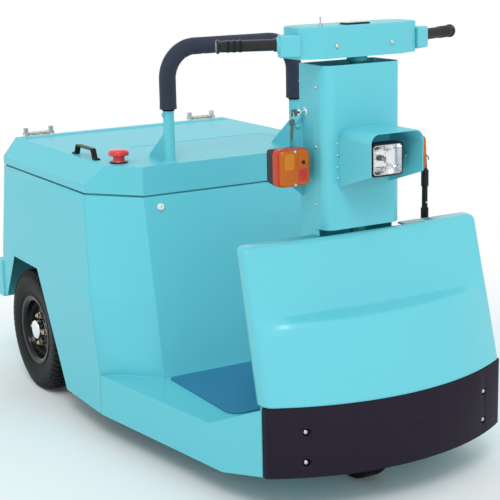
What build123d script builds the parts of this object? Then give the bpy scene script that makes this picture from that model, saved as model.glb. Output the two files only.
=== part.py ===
from build123d import *
import os
from math import sqrt

# Three-wheel stand-on tow tractor. Millimetres, +Z up, forward is -Y, floor at z = 0.

# Overall layout
LENGTH = 1910
FRONT_Y = -LENGTH / 2
REAR_Y = LENGTH / 2
FRONT_AXLE_Y = -700
REAR_AXLE_Y = 555
SHEET = 4
PLATE = 6
RUNNING_GAP = 0.05

# Body panels, given as half widths and stations along Y
SEAM_Z = 745
FOLD_Z = 440
DECK_Z = 210
SKIRT_Z = 83
BODY_REAR_Y = 797
SEAM_HALF = 462
FOLD_HALF = 499
REAR_SEAM_HALF = 460
REAR_FOLD_HALF = 484
CORNER_SEAM_Y = 106
CORNER_FOLD_Y = 10
CORNER_DECK_Y = -38
FACE_SEAM_HALF = 334
FACE_SEAM_Y = -46
FACE_DECK_HALF = 347
FACE_DECK_Y = -171
PANEL_STEP = 3.5

# Wheel arch, a trapezium cut in the side panel
ARCH_TOP_Z = 443
ARCH_TOP_FRONT_Y = 463
ARCH_TOP_REAR_Y = 683
ARCH_FOOT_FRONT_Y = 242
ARCH_FOOT_REAR_Y = 778
ARCH_FOOT_REAR_Z = 281

# Lid
LID_Z = 750
LID_RIM_Z = 777
LID_TOP_Z = 839
LID_TOP_HALF = 412
LID_REAR_Y = 793
LID_WALL = 3
LID_CLEARANCE = 7

# Lid hinges
HINGE_Y = 804
HINGE_Z = 845
HINGE_X = 325
HINGE_WIDTH = 108
HINGE_KNUCKLES = 5
HINGE_R = 6
HINGE_PIN_R = 2.5
HINGE_LEAF = 3
HINGE_LEAF_LENGTH = 46

# Lid furniture
HANDLE_X = -390
HANDLE_Y0 = 172
HANDLE_Y1 = 314
HANDLE_RISE = 33
HANDLE_SLANT = 12
HANDLE_WIDTH = 18
HANDLE_THICK = 5
STOP_X = -355
STOP_Y = 73
STOP_RING_R = 24
STOP_STEM_R = 18
STOP_HEAD_R = 32
LOCK_X = -281
LOCK_Z = 712

# Hip rest hoop on the lid
HOOP_X = 226
HOOP_Y = -20
HOOP_Z = 1188
HOOP_TUBE_R = 17
HOOP_FOAM_R = 26
HOOP_BEND_R = 95
FOAM_START_Z = 1003
GUSSET_REAR_Y = 118
GUSSET_TOP_Z = 945

# Platform and nose
DECK_FRONT_Y = -595
DECK_FRONT_HALF = 426
NOSE_END_Y = -843
NOSE_END_HALF = 392
NOSE_Z0 = 122
NOSE_Z1 = 316
BUMPER_THICK = 18
BUMPER_SAG = NOSE_END_Y - FRONT_Y
NOTCH_HALF = 140
NOTCH_FRONT_Y = -775
BOLT_X = 296
BOLT_Z = (164, 248)
BOLT_SEAT_R = 11
BOLT_SEAT_DEPTH = 10

# Cowl
COWL_TOP_Z = 723
COWL_TOP_HALF = 386
COWL_TOP_Y = -735
COWL_WALL = 6
COWL_FLANGE = 40
COWL_EDGE_R = 20

# Heights up the cowl with how far its front bulges there; the ledge is near z = 532
COWL_LEVELS = (
    (316, 109), (420, 107), (500, 101), (516, 98), (526, 91), (532, 80),
    (535, 38), (541, 27), (552, 21), (572, 19), (723, 16),
)

# Column
COLUMN_HALF = 125
COLUMN_REAR_Y = -601
COLUMN_FRONT_Y = -735
COLUMN_TOP_Z = 1178
COLUMN_CUT_Z = 430
COLUMN_WING_Y = -692
COLUMN_FOOT_Y = -585
COVER_FOOT_Z = 735
COVER_REAR_Y = -671
COVER_CORNER_R = 30
COVER_SHEET = 3

# Headlamp and its hood
HOOD_HALF = 85
HOOD_TOP_Z = 1012
HOOD_BACK_Z = 852
HOOD_FRONT_Z = 900
HOOD_FRONT_Y = -883
LAMP_Z = 933
LAMP_Y = -840
LAMP_DEPTH = 40
LENS_SEAT = 8

# Turn signals
SIGNAL_X = 195
SIGNAL_Z = 909
SIGNAL_WIDTH = 96
SIGNAL_HEIGHT = 102
SIGNAL_FACE_Y = -695
SIGNAL_SPLIT_Y = -655
SIGNAL_BACK_Y = -617

# Key switch and parking lever
KEY_Y = -629
KEY_Z = 1048
LEVER_X = 290
LEVER_Y = -622
LEVER_TOP_Z = 905

# Steering
HEAD_R = 38
HEAD_Z0 = 300
HEAD_Z1 = 410
SHAFT_R = 20
BOSS_R = 28
BAR_Z0 = 1197
BAR_Z1 = 1281
BAR_FACE_HALF = 123
BAR_END_HALF = 190
BAR_END_Y = -708
BAR_REAR_Y = -613
GRIP_Z = 1237
GRIP_INNER = (-238, -672)
GRIP_OUTER = (-383, -613)
GRIP_R = 15
CROWN_Z0 = 256
CROWN_Z1 = 272
BLADE_X = 52
BLADE_THICK = 10

# Wheels
REAR_TYRE_R = 207.5
REAR_TYRE_W = 105
REAR_TYRE_X = 428
REAR_BEAD_R = 104
REAR_STUB_R = 20
HUB_R = 32
FRONT_TYRE_R = 120
FRONT_TYRE_W = 75
FRONT_BEAD_R = 74
FRONT_AXLE_R = 10

# Frame, axle, battery and motor
RAIL_X = 280
RAIL_W = 60
RAIL_Z = 180
AXLE_TUBE_R = 45
GEARCASE_R = 95
BATTERY = (600, 420, 300)
BATTERY_Y = 390
TRAY_Z = 330
TRAY_THICK = 8
MOTOR_R = 85

# Rear beam and hitch
BEAM_Z0 = 275
BEAM_Z1 = 404
BEAM_DEPTH = 62
BEAM_HALF = 490
HITCH_Z = 340
HITCH_BORE_R = 16
HITCH_BORE_Y = 910
JAW_GAP = 64
JAW_THICK = 16
STOWED_PIN_X = 150
STOWED_PIN_R = 14

os.makedirs("parts", exist_ok=True)


def save(builder, name):
    """Label a finished piece and write it as a STEP file."""
    builder.part.label = name
    export_step(builder.part, f"parts/{name}.step")


def blend(a, b, t):
    """Value a fraction t of the way from a to b."""
    return a + (b - a) * t


def at_y(y):
    """Plane facing forward at a station along Y, with X across and Z up."""
    return Plane.XZ.offset(-y)


def mitred(points, thickness):
    """Points of an open polyline moved to its left by thickness, corners mitred."""
    moved = []
    for i, (x, y) in enumerate(points):
        runs = [points[max(i - 1, 0):i + 1], points[i:i + 2]]
        normals = []
        for run in runs:
            if len(run) == 2:
                along = Vector(run[1][0] - run[0][0], run[1][1] - run[0][1]).normalized()
                normals.append(Vector(-along.Y, along.X))
        middle = (normals[0] + normals[-1]).normalized()
        reach = thickness / middle.dot(normals[0])
        moved.append((x + middle.X * reach, y + middle.Y * reach))
    return moved


def strip(points, thickness):
    """Closed outline of a sheet whose outer face follows the points."""
    return points + mitred(points, thickness)[::-1]


def side_x(y):
    """Half width of the body below the fold line, which tapers towards the rear."""
    t = (y - CORNER_FOLD_Y) / (BODY_REAR_Y - CORNER_FOLD_Y)
    return blend(FOLD_HALF, REAR_FOLD_HALF, t)


def board_z(y):
    """Height of the toe board's top face at a station along Y."""
    slope = (NOSE_Z1 - DECK_Z) / (DECK_FRONT_Y - NOSE_END_Y)
    return DECK_Z + (DECK_FRONT_Y - y) * slope


def below_board():
    """Side profile of everything below the toe board's top face."""
    front, rear = NOSE_END_Y, DECK_FRONT_Y
    return [(front, 0), (rear, 0), (rear, board_z(rear)), (front, board_z(front))]


def arc_y(x, half, end_y, sag):
    """Y of a circular arc through (+-half, end_y) that bulges forward by sag."""
    radius = (half * half + sag * sag) / (2 * sag)
    return end_y + (radius - sag) - sqrt(radius * radius - x * x)


def arc_points(half, end_y, sag):
    """Ends and crown of an arc across the machine that bulges forward by sag."""
    return (-half, end_y), (0, end_y - sag), (half, end_y)


def make_side_panel(side, name):
    """Side panel: upright below the fold, leaning in above it, with the wheel arch."""
    corners = {
        SKIRT_Z: (side_x(CORNER_DECK_Y), CORNER_DECK_Y, REAR_FOLD_HALF),
        DECK_Z: (side_x(CORNER_DECK_Y), CORNER_DECK_Y, REAR_FOLD_HALF),
        FOLD_Z: (FOLD_HALF, CORNER_FOLD_Y, REAR_FOLD_HALF),
        SEAM_Z: (SEAM_HALF, CORNER_SEAM_Y, REAR_SEAM_HALF),
    }
    arch = [
        (ARCH_FOOT_FRONT_Y, SKIRT_Z - 5),
        (ARCH_TOP_FRONT_Y, ARCH_TOP_Z),
        (ARCH_TOP_REAR_Y, ARCH_TOP_Z),
        (ARCH_FOOT_REAR_Y, ARCH_FOOT_REAR_Z),
        (BODY_REAR_Y + 5, ARCH_FOOT_REAR_Z),
        (BODY_REAR_Y + 5, SKIRT_Z - 5),
    ]
    with BuildPart() as panel:
        for z, (corner_x, corner_y, rear_x) in corners.items():
            section = strip([(rear_x, BODY_REAR_Y), (corner_x, corner_y + PANEL_STEP)], -SHEET)
            with BuildSketch(Plane.XY.offset(z)):
                Polygon(*[(side * x, y) for x, y in section], align=None)
        loft(ruled=True)
        with BuildSketch(Plane.YZ):
            Polygon(*arch, align=None)
        extrude(amount=FOLD_HALF + 5, both=True, mode=Mode.SUBTRACT)
    save(panel, name)


def make_front_panel():
    """Raked front sheet with a chamfer wing at each side."""
    corners = {
        DECK_Z: (side_x(CORNER_DECK_Y), CORNER_DECK_Y),
        FOLD_Z: (FOLD_HALF, CORNER_FOLD_Y),
        SEAM_Z: (SEAM_HALF, CORNER_SEAM_Y),
    }
    with BuildPart() as panel:
        for z, corner in corners.items():
            t = (z - DECK_Z) / (SEAM_Z - DECK_Z)
            face = (blend(FACE_DECK_HALF, FACE_SEAM_HALF, t), blend(FACE_DECK_Y, FACE_SEAM_Y, t))
            outer = [(-corner[0], corner[1]), (-face[0], face[1]), face, corner]
            with BuildSketch(Plane.XY.offset(z)):
                Polygon(*strip(outer, SHEET), align=None)
        loft(ruled=True)
    save(panel, "front_panel")


def make_rear_panel():
    """Rear wall, which rises inside the lid to carry the hinges."""
    crown_z = LID_TOP_Z - LID_WALL - LID_CLEARANCE
    facet = (SEAM_HALF - LID_TOP_HALF) / (LID_TOP_Z - LID_RIM_Z)
    shoulder = SEAM_HALF - LID_WALL - LID_CLEARANCE
    crown = shoulder - facet * (crown_z - LID_RIM_Z)
    right = [
        (REAR_FOLD_HALF - SHEET - 1, ARCH_FOOT_REAR_Z),
        (REAR_FOLD_HALF - SHEET - 1, FOLD_Z),
        (REAR_SEAM_HALF - SHEET - 2, SEAM_Z),
        (shoulder, LID_Z),
        (shoulder, LID_RIM_Z),
        (crown, crown_z),
    ]
    with BuildPart() as panel:
        with BuildSketch(at_y(BODY_REAR_Y)):
            Polygon(*right, *[(-x, z) for x, z in reversed(right)], align=None)
        extrude(amount=SHEET)
    save(panel, "rear_panel")


def make_platform():
    """Deck plate with a skirt down each side."""
    rear_half = side_x(CORNER_DECK_Y)
    deck = [(DECK_FRONT_HALF, DECK_FRONT_Y), (rear_half, CORNER_DECK_Y)]
    with BuildPart() as platform:
        with BuildSketch(Plane.XY.offset(DECK_Z - PLATE)):
            Polygon(*deck, *[(-x, y) for x, y in reversed(deck)], align=None)
        extrude(amount=PLATE)
        with BuildSketch(Plane.XY.offset(SKIRT_Z)):
            Polygon(*strip(deck[::-1], -PLATE), align=None)
            mirror(about=Plane.YZ)
        extrude(amount=DECK_Z - SKIRT_Z)
    save(platform, "platform")


def make_mat():
    """Rubber mat on the deck, rounded at its corners."""
    with BuildPart() as mat:
        with BuildSketch(Plane.XY.offset(DECK_Z)) as outline:
            Polygon((-340, -190), (340, -190), (346, -583), (-346, -583), align=None)
            fillet(outline.vertices().group_by(Axis.Y)[0], radius=42)
            fillet(outline.vertices().group_by(Axis.Y)[-1], radius=14)
        extrude(amount=5)
    save(mat, "platform_mat")


def make_nose_frame():
    """Steel arc behind the bumper with a cheek plate back to the platform each side."""
    back_y = NOSE_END_Y + BUMPER_THICK
    t = (DECK_FRONT_Y - back_y) / (DECK_FRONT_Y - NOSE_END_Y)
    back_half = blend(DECK_FRONT_HALF, NOSE_END_HALF, t)
    cheek = [
        (DECK_FRONT_Y, SKIRT_Z),
        (DECK_FRONT_Y - 55, SKIRT_Z),
        (back_y, NOSE_Z0),
        (back_y, board_z(back_y)),
        (DECK_FRONT_Y, DECK_Z),
    ]
    plan = [(DECK_FRONT_HALF, DECK_FRONT_Y), (back_half, back_y)]
    with BuildPart() as nose:
        with BuildSketch(Plane.XY):
            Polygon(*strip(plan, -PLATE), align=None)
            mirror(about=Plane.YZ)
        extrude(amount=NOSE_Z1)
        with BuildSketch(Plane.YZ):
            Polygon(*cheek, align=None)
        extrude(amount=DECK_FRONT_HALF, both=True, mode=Mode.INTERSECT)
        with BuildSketch(Plane.XY.offset(NOSE_Z0)):
            with BuildLine():
                outer = ThreePointArc(*arc_points(NOSE_END_HALF, back_y, BUMPER_SAG))
                inner = ThreePointArc(*arc_points(NOSE_END_HALF, back_y + PLATE, BUMPER_SAG))
                Line(outer @ 0, inner @ 0)
                Line(outer @ 1, inner @ 1)
            make_face()
        extrude(amount=NOSE_Z1 - NOSE_Z0)
    save(nose, "nose_frame")


def make_bumper():
    """Curved rubber bumper with two sunk bolt seats near each end."""
    seat_y = arc_y(BOLT_X, NOSE_END_HALF, NOSE_END_Y, BUMPER_SAG) + BOLT_SEAT_DEPTH
    with BuildPart() as bumper:
        with BuildSketch(Plane.XY.offset(NOSE_Z0)):
            with BuildLine():
                outer = ThreePointArc(*arc_points(NOSE_END_HALF, NOSE_END_Y, BUMPER_SAG))
                inner = ThreePointArc(*arc_points(NOSE_END_HALF, NOSE_END_Y + BUMPER_THICK, BUMPER_SAG))
                Line(outer @ 0, inner @ 0)
                Line(outer @ 1, inner @ 1)
            make_face()
        extrude(amount=NOSE_Z1 - NOSE_Z0)
        with BuildSketch(at_y(seat_y)):
            with Locations([(x, z) for x in (-BOLT_X, BOLT_X) for z in BOLT_Z]):
                Circle(BOLT_SEAT_R)
        extrude(amount=3 * BOLT_SEAT_DEPTH, mode=Mode.SUBTRACT)
    save(bumper, "bumper")


def make_toe_board():
    """Sloping plate from the deck up to the cowl, notched round the column."""
    rear_y = DECK_FRONT_Y - 1
    front_y = NOSE_END_Y + BUMPER_THICK + PLATE + 1
    half_rear = DECK_FRONT_HALF - PLATE - 3
    half_front = NOSE_END_HALF - PLATE - 3
    with BuildPart() as board:
        with BuildSketch(Plane.YZ):
            Polygon(
                (rear_y, board_z(rear_y) - PLATE),
                (rear_y, board_z(rear_y)),
                (front_y, board_z(front_y)),
                (front_y, board_z(front_y) - PLATE),
                align=None,
            )
        extrude(amount=half_rear, both=True)
        with BuildSketch(Plane.XY):
            Polygon((half_rear, rear_y), (-half_rear, rear_y), (-half_front, front_y), (half_front, front_y),
                    align=None)
        extrude(amount=NOSE_Z1, mode=Mode.INTERSECT)
        with BuildSketch(Plane.XY):
            with Locations((0, rear_y)):
                Rectangle(2 * NOTCH_HALF, 2 * (rear_y - NOTCH_FRONT_Y))
        extrude(amount=NOSE_Z1, mode=Mode.SUBTRACT)
    save(board, "toe_board")


def cowl_form(inset):
    """Solid form of the cowl, or of its hollow when given the wall as inset."""
    with BuildPart() as form:
        for z, sag in COWL_LEVELS:
            t = (z - NOSE_Z1) / (COWL_TOP_Z - NOSE_Z1)
            x = blend(NOSE_END_HALF, COWL_TOP_HALF, t) - inset
            y = blend(NOSE_END_Y, COWL_TOP_Y, t) + inset
            rear_y = y + COWL_FLANGE + 10 * inset
            with BuildSketch(Plane.XY.offset(z - inset)) as section:
                with BuildLine():
                    ThreePointArc(*arc_points(x, y, sag))
                    Polyline((x, y), (x, rear_y), (-x, rear_y), (-x, y))
                make_face()
                fillet(section.vertices().group_by(Axis.Y)[0], radius=COWL_EDGE_R - inset)
        loft(ruled=True)
    return form.part


def make_cowl():
    """Moulded leg shield: bulged below, a soft ledge, flatter above, open behind and below."""
    outer = cowl_form(0)
    hollow = cowl_form(COWL_WALL)
    with BuildPart() as cowl:
        add(outer)
        add(hollow, mode=Mode.SUBTRACT)
        with BuildSketch(Plane.XY.offset(COWL_TOP_Z - 100)):
            with Locations((0, COLUMN_FRONT_Y + 102)):
                Rectangle(2 * NOTCH_HALF, 200)
        extrude(amount=110, mode=Mode.SUBTRACT)
    save(cowl, "cowl")


def make_column_back():
    """Rear channel of the column, cut back round the steering head."""
    half = COLUMN_HALF - COVER_SHEET
    with BuildPart() as back:
        with BuildSketch(Plane.XY.offset(DECK_Z)):
            with Locations((0, COLUMN_REAR_Y - SHEET / 2)):
                Rectangle(2 * half, SHEET)
        extrude(amount=COLUMN_TOP_Z - DECK_Z)
        with BuildSketch(Plane.XY.offset(COLUMN_CUT_Z)):
            with Locations((half - SHEET / 2, (COLUMN_REAR_Y + COLUMN_WING_Y) / 2)):
                Rectangle(SHEET, COLUMN_REAR_Y - COLUMN_WING_Y)
            mirror(about=Plane.YZ)
        extrude(amount=COLUMN_TOP_Z - COLUMN_CUT_Z)
        with BuildSketch(Plane.XY.offset(DECK_Z)):
            with Locations((0, (COLUMN_REAR_Y + COLUMN_FOOT_Y) / 2)):
                Rectangle(2 * half, COLUMN_FOOT_Y - COLUMN_REAR_Y)
        extrude(amount=PLATE)
    save(back, "column_back")


def make_column_cover():
    """Folded front cover of the column with rounded upright corners."""
    x = COLUMN_HALF - COVER_SHEET / 2
    y = COLUMN_FRONT_Y + COVER_SHEET / 2
    with BuildPart() as cover:
        with BuildSketch(Plane.XY.offset(COVER_FOOT_Z)):
            with BuildLine():
                FilletPolyline((-x, COVER_REAR_Y), (-x, y), (x, y), (x, COVER_REAR_Y), radius=COVER_CORNER_R)
            trace(line_width=COVER_SHEET)
        extrude(amount=COLUMN_TOP_Z - COVER_FOOT_Z)
    save(cover, "column_cover")


def make_steering_head():
    """Head tube for the steering shaft, with a wing plate each side down to the toe board."""
    foot_z = board_z(NOTCH_FRONT_Y)
    wing = [
        (HEAD_R - 5, HEAD_Z0),
        (BLADE_X + 60, HEAD_Z0),
        (NOTCH_HALF + 4, foot_z - 60),
        (NOTCH_HALF + 70, foot_z - 60),
        (NOTCH_HALF + 70, HEAD_Z0),
        (HEAD_R + 40, HEAD_Z1),
        (HEAD_R - 5, HEAD_Z1),
    ]
    with BuildPart() as head:
        with BuildSketch(at_y(FRONT_AXLE_Y + PLATE)):
            Polygon(*wing, align=None)
            mirror(about=Plane.YZ)
        extrude(amount=2 * PLATE)
        with BuildSketch(Plane.YZ):
            Polygon(*below_board(), align=None)
        extrude(amount=DECK_FRONT_HALF, both=True, mode=Mode.SUBTRACT)
        with BuildSketch(Plane.XY.offset(HEAD_Z0)):
            with Locations((0, FRONT_AXLE_Y)):
                Circle(HEAD_R)
        extrude(amount=HEAD_Z1 - HEAD_Z0)
        with BuildSketch(Plane.XY.offset(HEAD_Z0)):
            with Locations((0, FRONT_AXLE_Y)):
                Circle(SHAFT_R + RUNNING_GAP)
        extrude(amount=HEAD_Z1 - HEAD_Z0, mode=Mode.SUBTRACT)
    save(head, "steering_head")


def make_lamp_hood():
    """Bent sheet hood round the headlamp, open in front and below."""
    x = HOOD_HALF - COVER_SHEET / 2
    top = HOOD_TOP_Z - COVER_SHEET / 2
    with BuildPart() as hood:
        with BuildSketch(at_y(COLUMN_FRONT_Y)):
            with BuildLine():
                FilletPolyline((-x, HOOD_BACK_Z), (-x, top), (x, top), (x, HOOD_BACK_Z), radius=26)
            trace(line_width=COVER_SHEET)
        extrude(amount=COLUMN_FRONT_Y - HOOD_FRONT_Y)
        with BuildSketch(Plane.YZ):
            Polygon(
                (COLUMN_FRONT_Y, HOOD_BACK_Z - 5),
                (COLUMN_FRONT_Y, HOOD_BACK_Z),
                (HOOD_FRONT_Y - 5, HOOD_FRONT_Z + 1),
                (HOOD_FRONT_Y - 5, HOOD_BACK_Z - 5),
                align=None,
            )
        extrude(amount=HOOD_HALF + 5, both=True, mode=Mode.SUBTRACT)
    save(hood, "lamp_hood")


def make_headlamp():
    """Square headlamp: black housing on a short stem, and a lens with a rounded rim."""
    with BuildPart() as body:
        with BuildSketch(at_y(LAMP_Y + LAMP_DEPTH)):
            with Locations((0, LAMP_Z)):
                RectangleRounded(104, 90, 14)
        extrude(amount=LAMP_DEPTH)
        with BuildSketch(at_y(LAMP_Y + LENS_SEAT)):
            with Locations((0, LAMP_Z)):
                RectangleRounded(94, 80, 10)
        extrude(amount=LENS_SEAT, mode=Mode.SUBTRACT)
        with BuildSketch(at_y(COLUMN_FRONT_Y)):
            with Locations((0, LAMP_Z)):
                Circle(30)
        extrude(amount=COLUMN_FRONT_Y - LAMP_Y - LAMP_DEPTH)
    save(body, "headlamp_body")
    with BuildPart() as lens:
        with BuildSketch(at_y(LAMP_Y + LENS_SEAT)):
            with Locations((0, LAMP_Z)):
                RectangleRounded(93.6, 79.6, 9.8)
        extrude(amount=LENS_SEAT + 4)
        chamfer(lens.faces().sort_by(Axis.Y)[0].edges(), length=3)
    save(lens, "headlamp_lens")


def make_signals():
    """Turn signals beside the column: bracket plates, dark bases and amber lenses."""
    inner = COLUMN_HALF - COVER_SHEET
    bracket = [(inner, 1037), (166, 1001), (166, 850), (inner, 815)]
    places = [(-SIGNAL_X, SIGNAL_Z), (SIGNAL_X, SIGNAL_Z)]
    with BuildPart() as brackets:
        with BuildSketch(at_y(SIGNAL_BACK_Y + SHEET)):
            Polygon(*bracket, align=None)
            mirror(about=Plane.YZ)
        extrude(amount=SHEET)
    save(brackets, "signal_brackets")
    with BuildPart() as bases:
        with BuildSketch(at_y(SIGNAL_SPLIT_Y)):
            with Locations(places):
                RectangleRounded(SIGNAL_WIDTH, SIGNAL_HEIGHT, 14)
        extrude(amount=SIGNAL_SPLIT_Y - SIGNAL_BACK_Y, taper=7)
    save(bases, "signal_bases")
    with BuildPart() as lenses:
        with BuildSketch(at_y(SIGNAL_SPLIT_Y)):
            with Locations(places):
                RectangleRounded(SIGNAL_WIDTH, SIGNAL_HEIGHT, 14)
        extrude(amount=SIGNAL_SPLIT_Y - SIGNAL_FACE_Y)
        chamfer(lenses.faces().filter_by(Axis.Y).group_by(Axis.Y)[0].edges(), length=7)
    save(lenses, "signal_lenses")


def make_key_switch():
    """Key switch on the column's side with the key's bow standing out."""
    face_x = COVER_SHEET - COLUMN_HALF
    with BuildPart() as switch:
        with BuildSketch(Plane.YZ.offset(face_x)):
            with Locations((KEY_Y, KEY_Z)):
                Circle(12)
        extrude(amount=-8)
        with BuildSketch(Plane.YZ.offset(face_x)):
            with Locations((KEY_Y, KEY_Z)):
                Circle(9)
        extrude(amount=-20)
        with BuildSketch(Plane.XZ.offset(-KEY_Y)):
            with Locations((face_x - 32, KEY_Z)):
                RectangleRounded(26, 20, 6)
        extrude(amount=1.5, both=True)
    save(switch, "key_switch")


def make_parking_lever():
    """Upright hand lever for the parking brake, standing on the toe board in its stepped sleeves."""
    steps = (
        (15, DECK_Z, 246),
        (8, 246, 690),
        (11.5, 690, 735),
        (8.5, 735, 797),
        (11.5, 797, 845),
        (8, 845, LEVER_TOP_Z - 10),
        (4, LEVER_TOP_Z - 10, LEVER_TOP_Z + 12),
    )
    with BuildPart() as lever:
        for radius, low, high in steps:
            with BuildSketch(Plane.XY.offset(low)):
                with Locations((LEVER_X, LEVER_Y)):
                    Circle(radius)
            extrude(amount=high - low)
        with BuildSketch(Plane.YZ):
            Polygon(*below_board(), align=None)
        extrude(amount=DECK_FRONT_HALF, both=True, mode=Mode.SUBTRACT)
    save(lever, "parking_lever")


def make_lid():
    """Lid shell: flat top, sloping side facets, upright rim, chamfered front corners."""
    section = [(SEAM_HALF, LID_Z), (SEAM_HALF, LID_RIM_Z), (LID_TOP_HALF, LID_TOP_Z)]
    plan = [(FACE_SEAM_HALF, FACE_SEAM_Y), (SEAM_HALF, CORNER_SEAM_Y), (SEAM_HALF, LID_REAR_Y)]
    with BuildPart() as lid:
        with BuildSketch(at_y(LID_REAR_Y)):
            Polygon(*section, *[(-x, z) for x, z in reversed(section)], align=None)
        extrude(amount=LID_REAR_Y - FACE_SEAM_Y)
        with BuildSketch(Plane.XY.offset(LID_Z)):
            Polygon(*plan, *[(-x, y) for x, y in reversed(plan)], align=None)
        extrude(amount=LID_TOP_Z - LID_Z, mode=Mode.INTERSECT)
        below = lid.faces().sort_by(Axis.Z)[0]
        behind = lid.faces().sort_by(Axis.Y)[-1]
        offset(amount=-LID_WALL, openings=[below, behind])
    save(lid, "lid_cap")


def make_hinges():
    """Two butt hinges at the lid's rear edge: fixed leaves with the pin, and moving leaves."""
    pitch = HINGE_WIDTH / HINGE_KNUCKLES
    slack = 0.5
    for name, first in (("hinge_leaves_fixed", 1), ("hinge_leaves_moving", 0)):
        fixed = first == 1
        with BuildPart() as leaves:
            for side in (-1, 1):
                left = side * HINGE_X - HINGE_WIDTH / 2
                for i in range(first, HINGE_KNUCKLES, 2):
                    with BuildSketch(Plane.YZ.offset(left + i * pitch + slack)):
                        with Locations((HINGE_Y, HINGE_Z)):
                            Circle(HINGE_R)
                        if fixed:
                            low = SEAM_Z + 40
                            with Locations((BODY_REAR_Y + HINGE_LEAF / 2, (low + HINGE_Z) / 2)):
                                Rectangle(HINGE_LEAF, HINGE_Z - low)
                        else:
                            with Locations((HINGE_Y - HINGE_LEAF_LENGTH / 2, LID_TOP_Z + HINGE_LEAF / 2)):
                                Rectangle(HINGE_LEAF_LENGTH, HINGE_LEAF)
                    extrude(amount=pitch - 2 * slack)
                if fixed:
                    with BuildSketch(at_y(BODY_REAR_Y)):
                        with Locations((side * HINGE_X, SEAM_Z + 40 + 18)):
                            Rectangle(HINGE_WIDTH, 36)
                    extrude(amount=-HINGE_LEAF)
                else:
                    with BuildSketch(Plane.XY.offset(LID_TOP_Z)):
                        with Locations((side * HINGE_X, HINGE_Y - HINGE_LEAF_LENGTH + 14)):
                            Rectangle(HINGE_WIDTH, 28)
                    extrude(amount=HINGE_LEAF)
                with BuildSketch(Plane.YZ.offset(left)):
                    with Locations((HINGE_Y, HINGE_Z)):
                        Circle(HINGE_PIN_R if fixed else HINGE_PIN_R + RUNNING_GAP)
                extrude(amount=HINGE_WIDTH, mode=Mode.ADD if fixed else Mode.SUBTRACT)
        save(leaves, name)


def make_lid_furniture():
    """Pull handle, stop switch and the round lock button below the seam."""
    top = LID_TOP_Z + HANDLE_RISE
    foot_z = LID_TOP_Z + HANDLE_THICK
    bow = [
        (HANDLE_Y0 - 20, foot_z),
        (HANDLE_Y0, foot_z),
        (HANDLE_Y0 + HANDLE_SLANT, top),
        (HANDLE_Y1 - HANDLE_SLANT, top),
        (HANDLE_Y1, foot_z),
        (HANDLE_Y1 + 20, foot_z),
    ]
    with BuildPart() as handle:
        with BuildSketch(Plane.YZ.offset(HANDLE_X)):
            Polygon(*strip(bow, -HANDLE_THICK), align=None)
        extrude(amount=HANDLE_WIDTH / 2, both=True)
    save(handle, "lid_handle")
    with BuildPart() as ring:
        with BuildSketch(Plane.XY.offset(LID_TOP_Z)):
            with Locations((STOP_X, STOP_Y)):
                Circle(STOP_RING_R)
        extrude(amount=4)
    save(ring, "stop_base")
    with BuildPart() as button:
        for radius, low, high in ((STOP_STEM_R, 4, 22), (STOP_HEAD_R, 22, 42)):
            with BuildSketch(Plane.XY.offset(LID_TOP_Z + low)):
                with Locations((STOP_X, STOP_Y)):
                    Circle(radius)
            extrude(amount=high - low)
        chamfer(button.faces().sort_by(Axis.Z)[-1].edges(), length=9)
    save(button, "stop_button")
    lean = Vector(0, DECK_Z - SEAM_Z, FACE_SEAM_Y - FACE_DECK_Y)
    face_y = blend(FACE_DECK_Y, FACE_SEAM_Y, (LOCK_Z - DECK_Z) / (SEAM_Z - DECK_Z))
    with BuildPart() as lock:
        with BuildSketch(Plane(origin=(LOCK_X, face_y, LOCK_Z), x_dir=(1, 0, 0), z_dir=lean)):
            Circle(11)
        extrude(amount=7)
        chamfer(lock.faces().sort_by(Axis.Y)[0].edges(), length=2)
    save(lock, "lid_lock")


def hoop_path(start_z):
    """Centre line of the hoop from one leg over to the other, starting at a height."""
    FilletPolyline(
        (-HOOP_X, start_z), (-HOOP_X, HOOP_Z), (HOOP_X, HOOP_Z), (HOOP_X, start_z), radius=HOOP_BEND_R
    )


def make_hoop():
    """Bent tube hoop welded to the lid with a gusset behind each leg, and its foam sleeve."""
    with BuildPart() as tube:
        with BuildLine(at_y(HOOP_Y)):
            hoop_path(LID_TOP_Z)
        with BuildSketch(Plane.XY.offset(LID_TOP_Z)):
            with Locations((-HOOP_X, HOOP_Y)):
                Circle(HOOP_TUBE_R)
        sweep()
        for side in (-1, 1):
            with BuildSketch(Plane.YZ.offset(side * HOOP_X)):
                Polygon((HOOP_Y, LID_TOP_Z), (GUSSET_REAR_Y, LID_TOP_Z), (HOOP_Y, GUSSET_TOP_Z), align=None)
            extrude(amount=2.5, both=True)
    save(tube, "hoop_tube")
    with BuildPart() as foam:
        with BuildLine(at_y(HOOP_Y)):
            hoop_path(FOAM_START_Z)
        with BuildSketch(Plane.XY.offset(FOAM_START_Z)):
            with Locations((-HOOP_X, HOOP_Y)):
                Circle(HOOP_FOAM_R)
                Circle(HOOP_TUBE_R + 0.2, mode=Mode.SUBTRACT)
        sweep()
    save(foam, "hoop_foam")


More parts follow.
